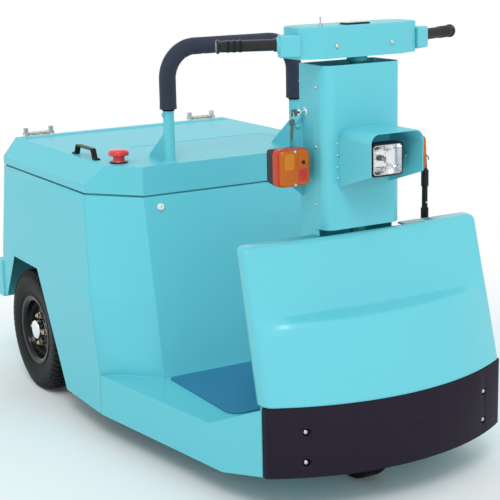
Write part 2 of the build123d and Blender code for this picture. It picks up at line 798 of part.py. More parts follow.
def make_steering():
    """Steering shaft, fork, bar housing with its end blocks, and the grips."""
    with BuildPart() as shaft:
        for radius, low, high in (
            (SHAFT_R, CROWN_Z1, BAR_Z0),
            (HEAD_R - 8, HEAD_Z0 - 12, HEAD_Z0 - 1),
            (HEAD_R - 8, HEAD_Z1 + 1, HEAD_Z1 + 16),
            (BOSS_R, BAR_Z0 - 13, BAR_Z0),
        ):
            with BuildSketch(Plane.XY.offset(low)):
                with Locations((0, FRONT_AXLE_Y)):
                    Circle(radius)
            extrude(amount=high - low)
    save(shaft, "steering_shaft")
    with BuildPart() as fork:
        with BuildSketch(Plane.XY.offset(CROWN_Z0)):
            with Locations((0, FRONT_AXLE_Y)):
                RectangleRounded(2 * BLADE_X + BLADE_THICK, 60, 10)
        extrude(amount=CROWN_Z1 - CROWN_Z0)
        with BuildSketch(Plane.YZ.offset(BLADE_X)):
            with BuildLine():
                foot = FRONT_TYRE_R
                Line((FRONT_AXLE_Y - 24, CROWN_Z0), (FRONT_AXLE_Y + 24, CROWN_Z0))
                Line((FRONT_AXLE_Y + 24, CROWN_Z0), (FRONT_AXLE_Y + 20, foot))
                ThreePointArc((FRONT_AXLE_Y + 20, foot), (FRONT_AXLE_Y, foot - 20), (FRONT_AXLE_Y - 20, foot))
                Line((FRONT_AXLE_Y - 20, foot), (FRONT_AXLE_Y - 24, CROWN_Z0))
            make_face()
        extrude(amount=BLADE_THICK / 2, both=True)
        mirror(about=Plane.YZ)
        with BuildSketch(Plane.YZ.offset(-BLADE_X - 12)):
            with Locations((FRONT_AXLE_Y, FRONT_TYRE_R)):
                Circle(FRONT_AXLE_R)
        extrude(amount=2 * BLADE_X + 24)
    save(fork, "steering_fork")
    outline = [
        (BAR_FACE_HALF, COLUMN_FRONT_Y),
        (BAR_END_HALF, BAR_END_Y),
        (BAR_END_HALF, BAR_REAR_Y - 20),
        (BAR_END_HALF - 40, BAR_REAR_Y),
    ]
    with BuildPart() as housing:
        with BuildSketch(Plane.XY.offset(BAR_Z0)):
            Polygon(*outline, *[(-x, y) for x, y in reversed(outline)], align=None)
        extrude(amount=BAR_Z1 - BAR_Z0)
        fillet(housing.edges().filter_by(Axis.Z), radius=8)
        chamfer(housing.faces().sort_by(Axis.Z)[-1].edges(), length=3)
    save(housing, "bar_housing")


def grip_plane():
    """Plane across the right grip at its inner end, facing outwards along the grip."""
    along = Vector(GRIP_OUTER[0] - GRIP_INNER[0], GRIP_OUTER[1] - GRIP_INNER[1], 0)
    return Plane(origin=(*GRIP_INNER, GRIP_Z), x_dir=(-along.Y, along.X, 0), z_dir=along)


def make_grips():
    """End blocks of the bar and the ribbed rubber grips, swept back."""
    length = sqrt((GRIP_OUTER[0] - GRIP_INNER[0]) ** 2 + (GRIP_OUTER[1] - GRIP_INNER[1]) ** 2)
    plane = grip_plane()
    with BuildPart() as blocks:
        with BuildSketch(plane.offset(-9)):
            with Locations((0, -4)):
                RectangleRounded(48, 58, 6)
        extrude(amount=-60)
        with BuildSketch(plane.offset(-9)):
            Circle(23)
        extrude(amount=9, taper=35)
        with BuildSketch(Plane.XY.offset(GRIP_Z - 60)):
            Polygon((-BAR_END_HALF, -760), (-BAR_END_HALF, -560), (-BAR_END_HALF + 60, -560), (-BAR_END_HALF + 60, -760),
                    align=None)
        extrude(amount=120, mode=Mode.SUBTRACT)
        mirror(about=Plane.YZ)
    save(blocks, "bar_blocks")
    with BuildPart() as grips:
        with BuildSketch(plane):
            Circle(GRIP_R)
        extrude(amount=length)
        for start, width, radius in ((0, 5, 17), (58, 6, 16.5), (76, 6, 16.5), (94, 6, 16.5), (length - 7, 7, 18.5)):
            with BuildSketch(plane.offset(start)):
                Circle(radius)
            extrude(amount=width)
        mirror(about=Plane.YZ)
    save(grips, "grips")


def make_dash():
    """Display, toggle switch and round horn button on top of the bar housing."""
    with BuildPart() as display:
        with BuildSketch(Plane.XY.offset(BAR_Z1)):
            with Locations((-8, -702)):
                RectangleRounded(78, 34, 4)
        extrude(amount=6)
    save(display, "dash_display")
    with BuildPart() as toggle:
        for radius, height in ((7, 4), (3, 24)):
            with BuildSketch(Plane.XY.offset(BAR_Z1)):
                with Locations((-113, -695)):
                    Circle(radius)
            extrude(amount=height)
    save(toggle, "toggle_switch")
    with BuildPart() as horn:
        with BuildSketch(Plane.XY.offset(BAR_Z1)):
            with Locations((12, -655)):
                Circle(19)
        extrude(amount=9)
        chamfer(horn.faces().sort_by(Axis.Z)[-1].edges(), length=5)
    save(horn, "horn_button")


def wheel_plane(axle_y, axle_z):
    """Plane through a wheel's axle line, X along the axle and radius upwards."""
    return Plane(origin=(0, axle_y, axle_z), x_dir=(1, 0, 0), z_dir=(0, -1, 0))


def make_tyre(name, centre_x, axle_y, outer_r, width, bead_r):
    """Closed tyre: narrow at the beads, widest at the middle of the sidewall, flat on the tread."""
    half = width / 2
    right = [(0.68 * half, bead_r), (half, blend(bead_r, outer_r, 0.6)), (0.8 * half, outer_r)]
    outline = right + [(-u, r) for u, r in reversed(right)]
    with BuildPart() as tyre:
        with BuildSketch(wheel_plane(axle_y, outer_r)):
            Polygon(*[(centre_x + u, r) for u, r in outline], align=None)
        revolve(axis=Axis((0, axle_y, outer_r), (1, 0, 0)))
    save(tyre, name)


def make_rear_wheel(side, suffix):
    """Rear wheel: tyre, dished steel rim on its hub, and the domed hub cap."""
    centre = side * REAR_TYRE_X
    make_tyre(f"rear_tyre_{suffix}", centre, REAR_AXLE_Y, REAR_TYRE_R, REAR_TYRE_W, REAR_BEAD_R)
    axis = Axis((0, REAR_AXLE_Y, REAR_TYRE_R), (1, 0, 0))
    bore = REAR_STUB_R + RUNNING_GAP
    rim_section = [
        (-43, 116), (-36, REAR_BEAD_R), (36, REAR_BEAD_R), (43, 116), (43, 97), (16, 94), (16, HUB_R), (30, HUB_R),
        (30, bore), (-34, bore), (-34, 40), (8, 40), (8, 94), (-43, 97),
    ]
    with BuildPart() as rim:
        with BuildSketch(wheel_plane(REAR_AXLE_Y, REAR_TYRE_R)):
            Polygon(*[(centre + side * u, r) for u, r in rim_section], align=None)
        revolve(axis=axis)
    save(rim, f"rear_rim_{suffix}")
    with BuildPart() as cap:
        with BuildSketch(Plane.YZ.offset(centre + side * 30)):
            with Locations((REAR_AXLE_Y, REAR_TYRE_R)):
                Circle(HUB_R)
        extrude(amount=side * 18)
        chamfer(cap.faces().sort_by(Axis.X)[-1 if side > 0 else 0].edges(), length=9)
    save(cap, f"hub_cap_{suffix}")


def make_front_wheel():
    """Front wheel: solid tyre on a cast hub."""
    make_tyre("front_tyre", 0, FRONT_AXLE_Y, FRONT_TYRE_R, FRONT_TYRE_W, FRONT_BEAD_R)
    bore = FRONT_AXLE_R + RUNNING_GAP
    rim_section = [(-28, FRONT_BEAD_R), (28, FRONT_BEAD_R), (10, 60), (10, 24), (40, 24), (40, bore)]
    mirrored_side = [(-u, r) for u, r in reversed(rim_section[2:])]
    with BuildPart() as rim:
        with BuildSketch(wheel_plane(FRONT_AXLE_Y, FRONT_TYRE_R)):
            Polygon(*rim_section, *mirrored_side, align=None)
        revolve(axis=Axis((0, FRONT_AXLE_Y, FRONT_TYRE_R), (1, 0, 0)))
    save(rim, "front_rim")


def make_frame():
    """Chassis rails that kick up over the axle, the cross members on and between them, and the battery tray."""
    profile = [
        (-560, 120), (300, 120), (400, 270), (793, 270), (793, TRAY_Z), (375, TRAY_Z), (275, RAIL_Z), (-560, RAIL_Z)
    ]
    members = (
        (-530, 60, 424, RAIL_Z, DECK_Z - PLATE),
        (-180, 60, 470, RAIL_Z, DECK_Z - PLATE),
        (50, 60, 490, RAIL_Z, DECK_Z - PLATE),
        (164, 8, RAIL_X + RAIL_W / 2, RAIL_Z, TRAY_Z),
        (765, 56, RAIL_X - RAIL_W / 2, 270, TRAY_Z),
    )
    with BuildPart() as rails:
        with BuildSketch(Plane.YZ.offset(RAIL_X)):
            Polygon(*profile, align=None)
        extrude(amount=RAIL_W / 2, both=True)
        mirror(about=Plane.YZ)
    save(rails, "chassis_frame")
    with BuildPart() as across:
        for y, depth, half, low, high in members:
            with BuildSketch(Plane.XY.offset(low)):
                with Locations((0, y)):
                    Rectangle(2 * half, depth)
            extrude(amount=high - low)
    save(across, "cross_members")
    with BuildPart() as tray:
        with BuildSketch(Plane.XY.offset(TRAY_Z)):
            with Locations((0, BATTERY_Y)):
                Rectangle(BATTERY[0] + 40, BATTERY[1] + 40)
        extrude(amount=TRAY_THICK)
    save(tray, "battery_tray")


def make_drive():
    """Rear axle with its gear case and spring pads, the drive motor and the battery."""
    with BuildPart() as axle:
        for radius, half in ((REAR_STUB_R, 456), (AXLE_TUBE_R, 345), (GEARCASE_R, 80)):
            with BuildSketch(Plane.YZ.offset(-half)):
                with Locations((REAR_AXLE_Y, REAR_TYRE_R)):
                    Circle(radius)
            extrude(amount=2 * half)
        with BuildSketch(Plane.XY.offset(REAR_TYRE_R)):
            with Locations((-RAIL_X, REAR_AXLE_Y), (RAIL_X, REAR_AXLE_Y)):
                Rectangle(RAIL_W, 90)
        extrude(amount=270 - REAR_TYRE_R)
    save(axle, "rear_axle")
    with BuildPart() as motor:
        with BuildSketch(at_y(REAR_AXLE_Y - GEARCASE_R + 15)):
            with Locations((0, REAR_TYRE_R)):
                Circle(MOTOR_R)
        extrude(amount=220)
        with BuildSketch(Plane.YZ.offset(-80)):
            with Locations((REAR_AXLE_Y, REAR_TYRE_R)):
                Circle(GEARCASE_R)
        extrude(amount=160, mode=Mode.SUBTRACT)
    save(motor, "drive_motor")
    width, depth, height = BATTERY
    with BuildPart() as battery:
        with BuildSketch(Plane.XY.offset(TRAY_Z + TRAY_THICK)):
            with Locations((0, BATTERY_Y)):
                Rectangle(width, depth)
        extrude(amount=height)
    save(battery, "battery")


def make_rear_beam():
    """Rear bumper beam with a socket for the stowed coupling pin."""
    with BuildPart() as beam:
        with BuildSketch(Plane.XY.offset(BEAM_Z0)) as outline:
            with Locations((0, BODY_REAR_Y + BEAM_DEPTH / 2)):
                Rectangle(2 * BEAM_HALF, BEAM_DEPTH)
            fillet(outline.vertices().group_by(Axis.Y)[-1], radius=20)
        extrude(amount=BEAM_Z1 - BEAM_Z0)
        with BuildSketch(Plane.XY.offset(BEAM_Z1)):
            with Locations((STOWED_PIN_X, BODY_REAR_Y + BEAM_DEPTH / 2)):
                Circle(STOWED_PIN_R + 0.5)
        extrude(amount=-100, mode=Mode.SUBTRACT)
    save(beam, "rear_beam")


def make_hitch():
    """Clevis for a drawbar eye, and its coupling pin stowed in the beam."""
    plate_y = BODY_REAR_Y + BEAM_DEPTH
    jaw_half = REAR_Y - HITCH_BORE_Y
    with BuildPart() as hitch:
        with BuildSketch(at_y(plate_y + 12)):
            with Locations((0, HITCH_Z)):
                RectangleRounded(180, 124, 10)
        extrude(amount=12)
        for low in (HITCH_Z - JAW_GAP / 2 - JAW_THICK, HITCH_Z + JAW_GAP / 2):
            with BuildSketch(Plane.XY.offset(low)):
                with BuildLine():
                    Line((jaw_half, HITCH_BORE_Y), (jaw_half, plate_y + 12))
                    Line((jaw_half, plate_y + 12), (-jaw_half, plate_y + 12))
                    Line((-jaw_half, plate_y + 12), (-jaw_half, HITCH_BORE_Y))
                    ThreePointArc((-jaw_half, HITCH_BORE_Y), (0, REAR_Y), (jaw_half, HITCH_BORE_Y))
                make_face()
                with Locations((0, HITCH_BORE_Y)):
                    Circle(HITCH_BORE_R, mode=Mode.SUBTRACT)
            extrude(amount=JAW_THICK)
    save(hitch, "tow_hitch")
    with BuildPart() as pin:
        for radius, low, high in (
            (STOWED_PIN_R, BEAM_Z1 - 100, BEAM_Z1 + 8),
            (20, BEAM_Z1, BEAM_Z1 + 8),
            (9, BEAM_Z1 + 8, BEAM_Z1 + 40),
        ):
            with BuildSketch(Plane.XY.offset(low)):
                with Locations((STOWED_PIN_X, BODY_REAR_Y + BEAM_DEPTH / 2)):
                    Circle(radius)
            extrude(amount=high - low)
        with BuildSketch(Plane.YZ.offset(STOWED_PIN_X - 35)):
            with Locations((BODY_REAR_Y + BEAM_DEPTH / 2, BEAM_Z1 + 40)):
                Circle(8)
        extrude(amount=70)
    save(pin, "hitch_pin")


make_frame()
make_drive()
make_platform()
make_mat()
make_side_panel(-1, "side_panel_right")
make_side_panel(1, "side_panel_left")
make_front_panel()
make_rear_panel()
make_rear_beam()
make_hitch()
make_nose_frame()
make_bumper()
make_toe_board()
make_cowl()
make_column_back()
make_column_cover()
make_steering_head()
make_lamp_hood()
make_headlamp()
make_signals()
make_key_switch()
make_parking_lever()
make_lid()
make_hinges()
make_lid_furniture()
make_hoop()
make_steering()
make_grips()
make_dash()
make_front_wheel()
make_rear_wheel(-1, "right")
make_rear_wheel(1, "left")
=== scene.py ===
from math import cos, pi, radians, sin, sqrt, tan

import bmesh
import bpy
from mathutils import Matrix, Vector


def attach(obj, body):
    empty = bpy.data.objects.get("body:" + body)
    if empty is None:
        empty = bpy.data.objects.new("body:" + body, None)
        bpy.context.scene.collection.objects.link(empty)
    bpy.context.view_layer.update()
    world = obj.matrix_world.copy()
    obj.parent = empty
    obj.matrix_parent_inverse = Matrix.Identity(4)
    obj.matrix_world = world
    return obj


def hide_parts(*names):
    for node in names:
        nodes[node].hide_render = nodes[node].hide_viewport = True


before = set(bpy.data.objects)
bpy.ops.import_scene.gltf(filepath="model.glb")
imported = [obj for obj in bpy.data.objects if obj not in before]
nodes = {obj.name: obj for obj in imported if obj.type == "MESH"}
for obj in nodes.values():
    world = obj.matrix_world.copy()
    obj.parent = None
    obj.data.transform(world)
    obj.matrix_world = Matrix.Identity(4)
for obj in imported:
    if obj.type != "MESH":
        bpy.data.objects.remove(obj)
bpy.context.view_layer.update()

scene = bpy.context.scene

# Camera

CAMERA_PLACE = (-2.1518, -3.8102, 1.5428)
CAMERA_YAW = 30.162
CAMERA_PITCH = 13.065
CAMERA_ROLL = -1.222
CAMERA_LENS = 100.8
SENSOR_WIDTH = 36


def make_camera():
    """Camera at the photograph's viewpoint."""
    yaw, pitch, roll = radians(CAMERA_YAW), radians(CAMERA_PITCH), radians(CAMERA_ROLL)
    ahead = Vector((sin(yaw) * cos(pitch), cos(yaw) * cos(pitch), -sin(pitch)))
    level = Vector((cos(yaw), -sin(yaw), 0))
    above = level.cross(ahead)
    right = level * cos(roll) + above * sin(roll)
    up = above * cos(roll) - level * sin(roll)
    data = bpy.data.cameras.new("camera")
    data.sensor_width = SENSOR_WIDTH
    data.lens = CAMERA_LENS
    data.clip_start, data.clip_end = 0.1, 200
    camera = bpy.data.objects.new("camera", data)
    scene.collection.objects.link(camera)
    turn = Matrix((right, up, -ahead)).transposed().to_4x4()
    camera.matrix_world = Matrix.Translation(CAMERA_PLACE) @ turn
    scene.camera = camera


make_camera()

# Materials


def shader(name):
    """New node material, with its Principled shader, its links and a maker of nodes."""
    made = bpy.data.materials.new(name)
    made.use_nodes = True
    tree = made.node_tree
    return made, tree.nodes["Principled BSDF"], tree.links, tree.nodes.new


def finish(
    name, colour, rough, metal=0.0, coat=0.0, vary=0.05, patch=6.0, rough_vary=0.06,
    grain=900.0, bump=0.05, depth=0.0003, sheen=0.0, spec=0.5,
):
    """Material whose colour and roughness drift in patches, over a fine surface grain."""
    made, principled, links, new = shader(name)
    place = new("ShaderNodeTexCoord")
    drift = new("ShaderNodeTexNoise")
    drift.inputs["Scale"].default_value = patch
    drift.inputs["Detail"].default_value = 4
    links.new(place.outputs["Object"], drift.inputs["Vector"])
    tone = new("ShaderNodeMix")
    tone.data_type = "RGBA"
    tone.inputs["A"].default_value = (*[c * (1 - vary) for c in colour], 1)
    tone.inputs["B"].default_value = (*[min(1, c * (1 + vary)) for c in colour], 1)
    links.new(drift.outputs["Fac"], tone.inputs["Factor"])
    links.new(tone.outputs["Result"], principled.inputs["Base Color"])
    spread = new("ShaderNodeMapRange")
    spread.inputs["To Min"].default_value = max(0.02, rough - rough_vary)
    spread.inputs["To Max"].default_value = min(1, rough + rough_vary)
    links.new(drift.outputs["Fac"], spread.inputs["Value"])
    links.new(spread.outputs["Result"], principled.inputs["Roughness"])
    fine = new("ShaderNodeTexNoise")
    fine.inputs["Scale"].default_value = grain
    fine.inputs["Detail"].default_value = 2
    links.new(place.outputs["Object"], fine.inputs["Vector"])
    relief = new("ShaderNodeBump")
    relief.inputs["Strength"].default_value = bump
    relief.inputs["Distance"].default_value = depth
    links.new(fine.outputs["Fac"], relief.inputs["Height"])
    links.new(relief.outputs["Normal"], principled.inputs["Normal"])
    principled.inputs["Metallic"].default_value = metal
    principled.inputs["Coat Weight"].default_value = coat
    principled.inputs["Coat Roughness"].default_value = 0.08
    principled.inputs["Sheen Weight"].default_value = sheen
    principled.inputs["Specular IOR Level"].default_value = spec
    return made


def see_through(name, colour, rough, ior, strength, flute=0.0):
    """Clear or tinted plastic or glass, moulded with fine upright flutes where asked."""
    made, principled, links, new = shader(name)
    place = new("ShaderNodeTexCoord")
    drift = new("ShaderNodeTexNoise")
    drift.inputs["Scale"].default_value = 30
    links.new(place.outputs["Object"], drift.inputs["Vector"])
    tone = new("ShaderNodeMix")
    tone.data_type = "RGBA"
    tone.inputs["A"].default_value = (*colour, 1)
    tone.inputs["B"].default_value = (*[min(1, c * 1.15) for c in colour], 1)
    links.new(drift.outputs["Fac"], tone.inputs["Factor"])
    links.new(tone.outputs["Result"], principled.inputs["Base Color"])
    ribs = new("ShaderNodeTexWave")
    ribs.bands_direction = "X"
    ribs.inputs["Scale"].default_value = 40
    links.new(place.outputs["Object"], ribs.inputs["Vector"])
    relief = new("ShaderNodeBump")
    relief.inputs["Strength"].default_value = flute
    relief.inputs["Distance"].default_value = 0.001
    links.new(ribs.outputs["Fac"], relief.inputs["Height"])
    links.new(relief.outputs["Normal"], principled.inputs["Normal"])
    principled.inputs["Roughness"].default_value = rough
    principled.inputs["IOR"].default_value = ior
    principled.inputs["Transmission Weight"].default_value = strength
    return made


TURQUOISE = (0.13, 0.57, 0.66)
LOOKS = {
    "body_paint": finish(
        "body_paint", TURQUOISE, 0.42, coat=0.08, vary=0.03, patch=2.5, grain=1500, spec=0.3
    ),
    "cowl_paint": finish(
        "cowl_paint", TURQUOISE, 0.3, coat=0.2, vary=0.03, patch=2.0, grain=700, bump=0.08, spec=0.35
    ),
    "frame_paint": finish("frame_paint", (0.02, 0.25, 0.27), 0.5, coat=0.05, vary=0.12, patch=9, spec=0.25),
    "bar_paint": finish("bar_paint", TURQUOISE, 0.4, coat=0.1, vary=0.03, patch=4, grain=1500, spec=0.3),
    "bumper_rubber": finish(
        "bumper_rubber", (0.017, 0.012, 0.024), 0.62, vary=0.35, patch=120, grain=1800, bump=0.25, spec=0.12
    ),
    "mat_rubber": finish(
        "mat_rubber", (0.035, 0.2, 0.36), 0.42, vary=0.14, patch=14, grain=1200, bump=0.2, spec=0.25
    ),
    "tyre": finish(
        "tyre", (0.006, 0.007, 0.007), 0.5, vary=0.3, patch=18, grain=900, bump=0.3, depth=0.0006, spec=0.12
    ),
    "rim_paint": finish(
        "rim_paint", (0.004, 0.004, 0.005), 0.16, vary=0.15, patch=20, rough_vary=0.03, spec=0.25
    ),
    "zinc": finish("zinc", (0.6, 0.61, 0.6), 0.3, metal=1, vary=0.12, patch=60, rough_vary=0.12),
    "brass": finish("brass", (0.72, 0.58, 0.34), 0.34, metal=1, vary=0.12, patch=60, rough_vary=0.1),
    "chrome": finish("chrome", (0.86, 0.87, 0.88), 0.1, metal=1, vary=0.03, patch=40, rough_vary=0.04),
    "cast": finish("cast", (0.05, 0.05, 0.052), 0.6, metal=0.4, vary=0.25, patch=40, grain=300, bump=0.3),
    "battery_case": finish(
        "battery_case", (0.025, 0.026, 0.028), 0.5, vary=0.2, patch=30, grain=700, bump=0.15
    ),
    "foam": finish(
        "foam", (0.03, 0.038, 0.062), 0.78, vary=0.25, patch=45, grain=1100, bump=0.45, depth=0.0008,
        sheen=0.12, spec=0.2,
    ),
    "grip_rubber": finish(
        "grip_rubber", (0.01, 0.012, 0.015), 0.25, vary=0.2, patch=60, grain=1500, bump=0.08, spec=0.35
    ),
    "black_plastic": finish(
        "black_plastic", (0.008, 0.009, 0.011), 0.4, vary=0.2, patch=50, grain=1500, spec=0.25
    ),
    # Flat black of painted shade: put in keyholes, bolt seats and seams, and as a painted shadow below the
    # foam's ends
    "black_hollow": finish("black_hollow", (0.004, 0.004, 0.004), 0.9, vary=0.2, patch=20, spec=0.1),
    "stop_red": finish("stop_red", (0.72, 0.022, 0.02), 0.22, coat=0.5, vary=0.06, patch=40, grain=1500),
    "amber": see_through("amber", (0.95, 0.24, 0.008), 0.1, 1.4, 0.6, 0.3),
    "lamp_lens": see_through("lamp_lens", (0.93, 0.96, 1.0), 0.02, 1.45, 1.0, 0.1),
    "bulb_glass": see_through("bulb_glass", (1.0, 0.99, 0.95), 0.05, 1.45, 0.9),
    # Darker copy of the amber: painted shade on the signal lens's sides and step
    "amber_deep": see_through("amber_deep", (0.95, 0.07, 0.008), 0.1, 1.4, 0.45, 0.3),
    # Paler copy of the amber: painted highlight at the signal lens's upper left
    "amber_pale": see_through("amber_pale", (1.0, 0.42, 0.01), 0.12, 1.4, 0.6, 0.3),
    # Darker red, more fluted patch on the signal lens
    "reflector": see_through("reflector", (0.6, 0.03, 0.01), 0.05, 1.5, 0.3, 0.5),
    "display_glass": finish(
        "display_glass", (0.01, 0.012, 0.014), 0.08, coat=0.6, vary=0.1, patch=30, grain=1500, bump=0.01
    ),
    "key_metal": finish("key_metal", (0.2, 0.25, 0.22), 0.4, metal=1, vary=0.2, patch=90),
    "lock_white": finish("lock_white", (0.82, 0.84, 0.83), 0.3, coat=0.3, vary=0.02, patch=60, grain=1500),
}


def paint(obj, look):
    """Give an object's every material slot one of the looks."""
    if not obj.data.materials:
        obj.data.materials.append(LOOKS[look])
    for place in obj.material_slots:
        place.material = LOOKS[look]


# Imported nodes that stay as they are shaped: their look, and the width of their softened edges

KEPT = {
    "chassis_frame": ("frame_paint", 2.5),
    "cross_members": ("frame_paint", 2),
    "battery_tray": ("frame_paint", 1.5),
    "side_panel_right": ("body_paint", 1.3),
    "side_panel_left": ("body_paint", 1.3),
    "front_panel": ("body_paint", 1.3),
    "rear_panel": ("body_paint", 1.3),
    "rear_beam": ("body_paint", 4),
    "tow_hitch": ("cast", 2.5),
    "hitch_pin": ("zinc", 1.2),
    "rear_axle": ("cast", 2.5),
    "drive_motor": ("cast", 3),
    "battery": ("battery_case", 4),
    "platform": ("body_paint", 2),
    "platform_mat": ("mat_rubber", 2),
    "nose_frame": ("body_paint", 1.5),
    "toe_board": ("body_paint", 1.5),
    "bumper": ("bumper_rubber", 2.5),
    "column_back": ("body_paint", 1),
    "column_cover": ("body_paint", 0.8),
    "steering_head": ("frame_paint", 2),
    "lamp_hood": ("body_paint", 0.8),
    "signal_brackets": ("body_paint", 0.8),
    "signal_bases": ("black_plastic", 2),
    "hinge_leaves_fixed": ("zinc", 0.6),
    "hinge_leaves_moving": ("zinc", 0.6),
    "lid_cap": ("body_paint", 2.5),
    "lid_lock": ("lock_white", 1),
    "lid_handle": ("black_plastic", 1),
    "steering_shaft": ("frame_paint", 1),
    "bar_housing": ("bar_paint", 1.5),
    "bar_blocks": ("bar_paint", 2),
    "steering_fork": ("frame_paint", 2),
    "front_rim": ("frame_paint", 1.5),
}


WELD_REACH = 0.00002
EDGE_ANGLE = 30


def soften(obj, width_mm):
    """Weld an object's seams, then round the edges that turn by more than the edge angle."""
    weld = obj.modifiers.new("weld", "WELD")
    weld.merge_threshold = WELD_REACH
    bevel = obj.modifiers.new("bevel", "BEVEL")
    bevel.limit_method = "ANGLE"
    bevel.angle_limit = radians(EDGE_ANGLE)
    bevel.width = width_mm / 1000
    bevel.segments = 2
    bevel.use_clamp_overlap = True
    bevel.harden_normals = True


for node_name, (look, width) in KEPT.items():
    paint(nodes[node_name], look)
    soften(nodes[node_name], width)

# Building meshes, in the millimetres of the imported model


def between(table, x):
    """Value at x on a line through a table of (x, value), level beyond its ends."""
    if x <= table[0][0]:
        return table[0][1]
    for (x0, y0), (x1, y1) in zip(table, table[1:]):
        if x <= x1:
            return y0 + (y1 - y0) * (x - x0) / (x1 - x0)
    return table[-1][1]


def across(axis):
    """Two directions square to an axis and to each other."""
    axis = Vector(axis).normalized()
    side = Vector((0, 0, 1)) if abs(axis.z) < 0.9 else Vector((1, 0, 0))
    first = side.cross(axis).normalized()
    return first, axis.cross(first)


class Form:
    """A mesh under way: points in millimetres, faces, and each face's look."""

    def __init__(self, *looks):
        self.looks = looks
        self.look = 0
        self.points = []
        self.faces = []
        self.face_looks = []

    def add(self, points, faces):
        """Join more points and the faces between them, in the current look."""
        base = len(self.points)
        self.points += [tuple(p) for p in points]
        self.faces += [tuple(base + i for i in face) for face in faces]
        self.face_looks += [self.look] * len(faces)
        return self

    def skin(self, rows, around=False, ends=False):
        """Faces between rows of as many points each, closed around or capped at the ends where asked."""
        width = len(rows[0])
        points = [p for row in rows for p in row]
        faces = []
        for i in range(len(rows) - 1):
            for j in range(width if around else width - 1):
                k = (j + 1) % width
                faces.append((i * width + j, i * width + k, (i + 1) * width + k, (i + 1) * width + j))
        if ends:
            faces.append(tuple(reversed(range(width))))
            faces.append(tuple(range((len(rows) - 1) * width, len(rows) * width)))
        return self.add(points, faces)

    def lathe(self, profile, origin, axis, count=48, start=0.0):
        """Turned form: profile holds (distance along the axis, radius)."""
        origin, axis = Vector(origin), Vector(axis).normalized()
        u, v = across(axis)
        rows = []
        for along, radius in profile:
            rows.append([
                origin + axis * along + (u * cos(a) + v * sin(a)) * radius
                for a in (start + 2 * pi * i / count for i in range(count))
            ])
        return self.skin(rows, around=True, ends=True)

    def tube(self, path, radius, count=24, ends=True):
        """Round bar along a path; radius is a number or a function of (point number, angle)."""
        rows = []
        u = across(path[1] - path[0])[0]
        for i, point in enumerate(path):
            along = (path[min(i + 1, len(path) - 1)] - path[max(i - 1, 0)]).normalized()
            u = (u - along * u.dot(along)).normalized()
            v = along.cross(u)
            row = []
            for k in range(count):
                a = 2 * pi * k / count
                r = radius(i, a) if callable(radius) else radius
                row.append(point + (u * cos(a) + v * sin(a)) * r)
            rows.append(row)
        return self.skin(rows, around=True, ends=ends)

    def prism(self, outline, origin, u, v, depth):
        """Flat outline in the directions u and v, carried along depth."""
        origin, u, v, depth = Vector(origin), Vector(u), Vector(v), Vector(depth)
        flat = [origin + u * a + v * b for a, b in outline]
        return self.skin([flat, [p + depth for p in flat]], around=True, ends=True)

    def block(self, x, y, z):
        """Box between two values along each axis."""
        outline = [(x[0], y[0]), (x[1], y[0]), (x[1], y[1]), (x[0], y[1])]
        return self.prism(outline, (0, 0, z[0]), (1, 0, 0), (0, 1, 0), (0, 0, z[1] - z[0]))

    def mirrored(self):
        """Add the same again on the other side of the machine."""
        base = len(self.points)
        self.points += [(-x, y, z) for x, y, z in self.points]
        self.faces += [tuple(base + i for i in reversed(face)) for face in self.faces]
        self.face_looks += self.face_looks
        return self

    def make(self, name, body, stands_for=(), crease=35, bevel=0.0, outward=True):
        """Finished object in metres, on its body, with its looks and the nodes it stands for."""
        mesh = bpy.data.meshes.new(name)
        build = bmesh.new()
        corners = [build.verts.new([c / 1000 for c in p]) for p in self.points]
        for face, look in zip(self.faces, self.face_looks):
            made = build.faces.new([corners[i] for i in face])
            made.material_index = look
            made.smooth = True
        bmesh.ops.remove_doubles(build, verts=build.verts, dist=0.000002)
        if outward:
            bmesh.ops.recalc_face_normals(build, faces=build.faces)
        build.to_mesh(mesh)
        build.free()
        mesh.set_sharp_from_angle(angle=radians(crease))
        for look in self.looks:
            mesh.materials.append(LOOKS[look])
        obj = bpy.data.objects.new(name, mesh)
        scene.collection.objects.link(obj)
        if bevel:
            soften(obj, bevel)
        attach(obj, body)
        if stands_for:
            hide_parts(*stands_for)
        return obj


def curved(points, radius, steps=12, spacing=12.0):
    """Path through points with its corners rounded to a radius, as evenly spaced points."""
    points = [Vector(p) for p in points]
    bends = [(points[0], points[0], None)]
    for before, corner, after in zip(points, points[1:], points[2:]):
        back, ahead = (before - corner).normalized(), (after - corner).normalized()
        half = back.angle(ahead) / 2
        reach = radius / tan(half)
        centre = corner + (back + ahead).normalized() * radius / sin(half)
        bends.append((corner + back * reach, corner + ahead * reach, centre))
    bends.append((points[-1], points[-1], None))
    path = []
    for (_, leave, _), (meet, after, centre) in zip(bends, bends[1:]):
        run = meet - leave
        parts = max(1, round(run.length / spacing))
        path += [leave + run * i / parts for i in range(parts)]
        if centre is not None:
            a, b = meet - centre, after - centre
            sweep = a.angle(b)
            path += [centre + (a * sin(sweep * (1 - i / steps)) + b * sin(sweep * i / steps)) / sin(sweep)
                     for i in range(steps)]
    return path + [points[-1]]


def rounded(outline, radius, steps=6):
    """Closed flat outline with its corners rounded."""
    made = []
    count = len(outline)
    for i in range(count):
        before, corner, after = (Vector((*outline[(i + k) % count], 0)) for k in (-1, 0, 1))
        back, ahead = (before - corner).normalized(), (after - corner).normalized()
        half = back.angle(ahead) / 2
        centre = corner + (back + ahead).normalized() * radius / sin(half)
        a, b = corner + back * radius / tan(half) - centre, corner + ahead * radius / tan(half) - centre
        sweep = a.angle(b)
        for k in range(steps + 1):
            p = centre + (a * sin(sweep * (1 - k / steps)) + b * sin(sweep * k / steps)) / sin(sweep)
            made.append((p.x, p.y))
    return made


def rectangle(width, height, radius, steps=6):
    """Outline of a rounded rectangle round the origin."""
    x, y = width / 2, height / 2
    return rounded([(-x, -y), (x, -y), (x, y), (-x, y)], radius, steps)


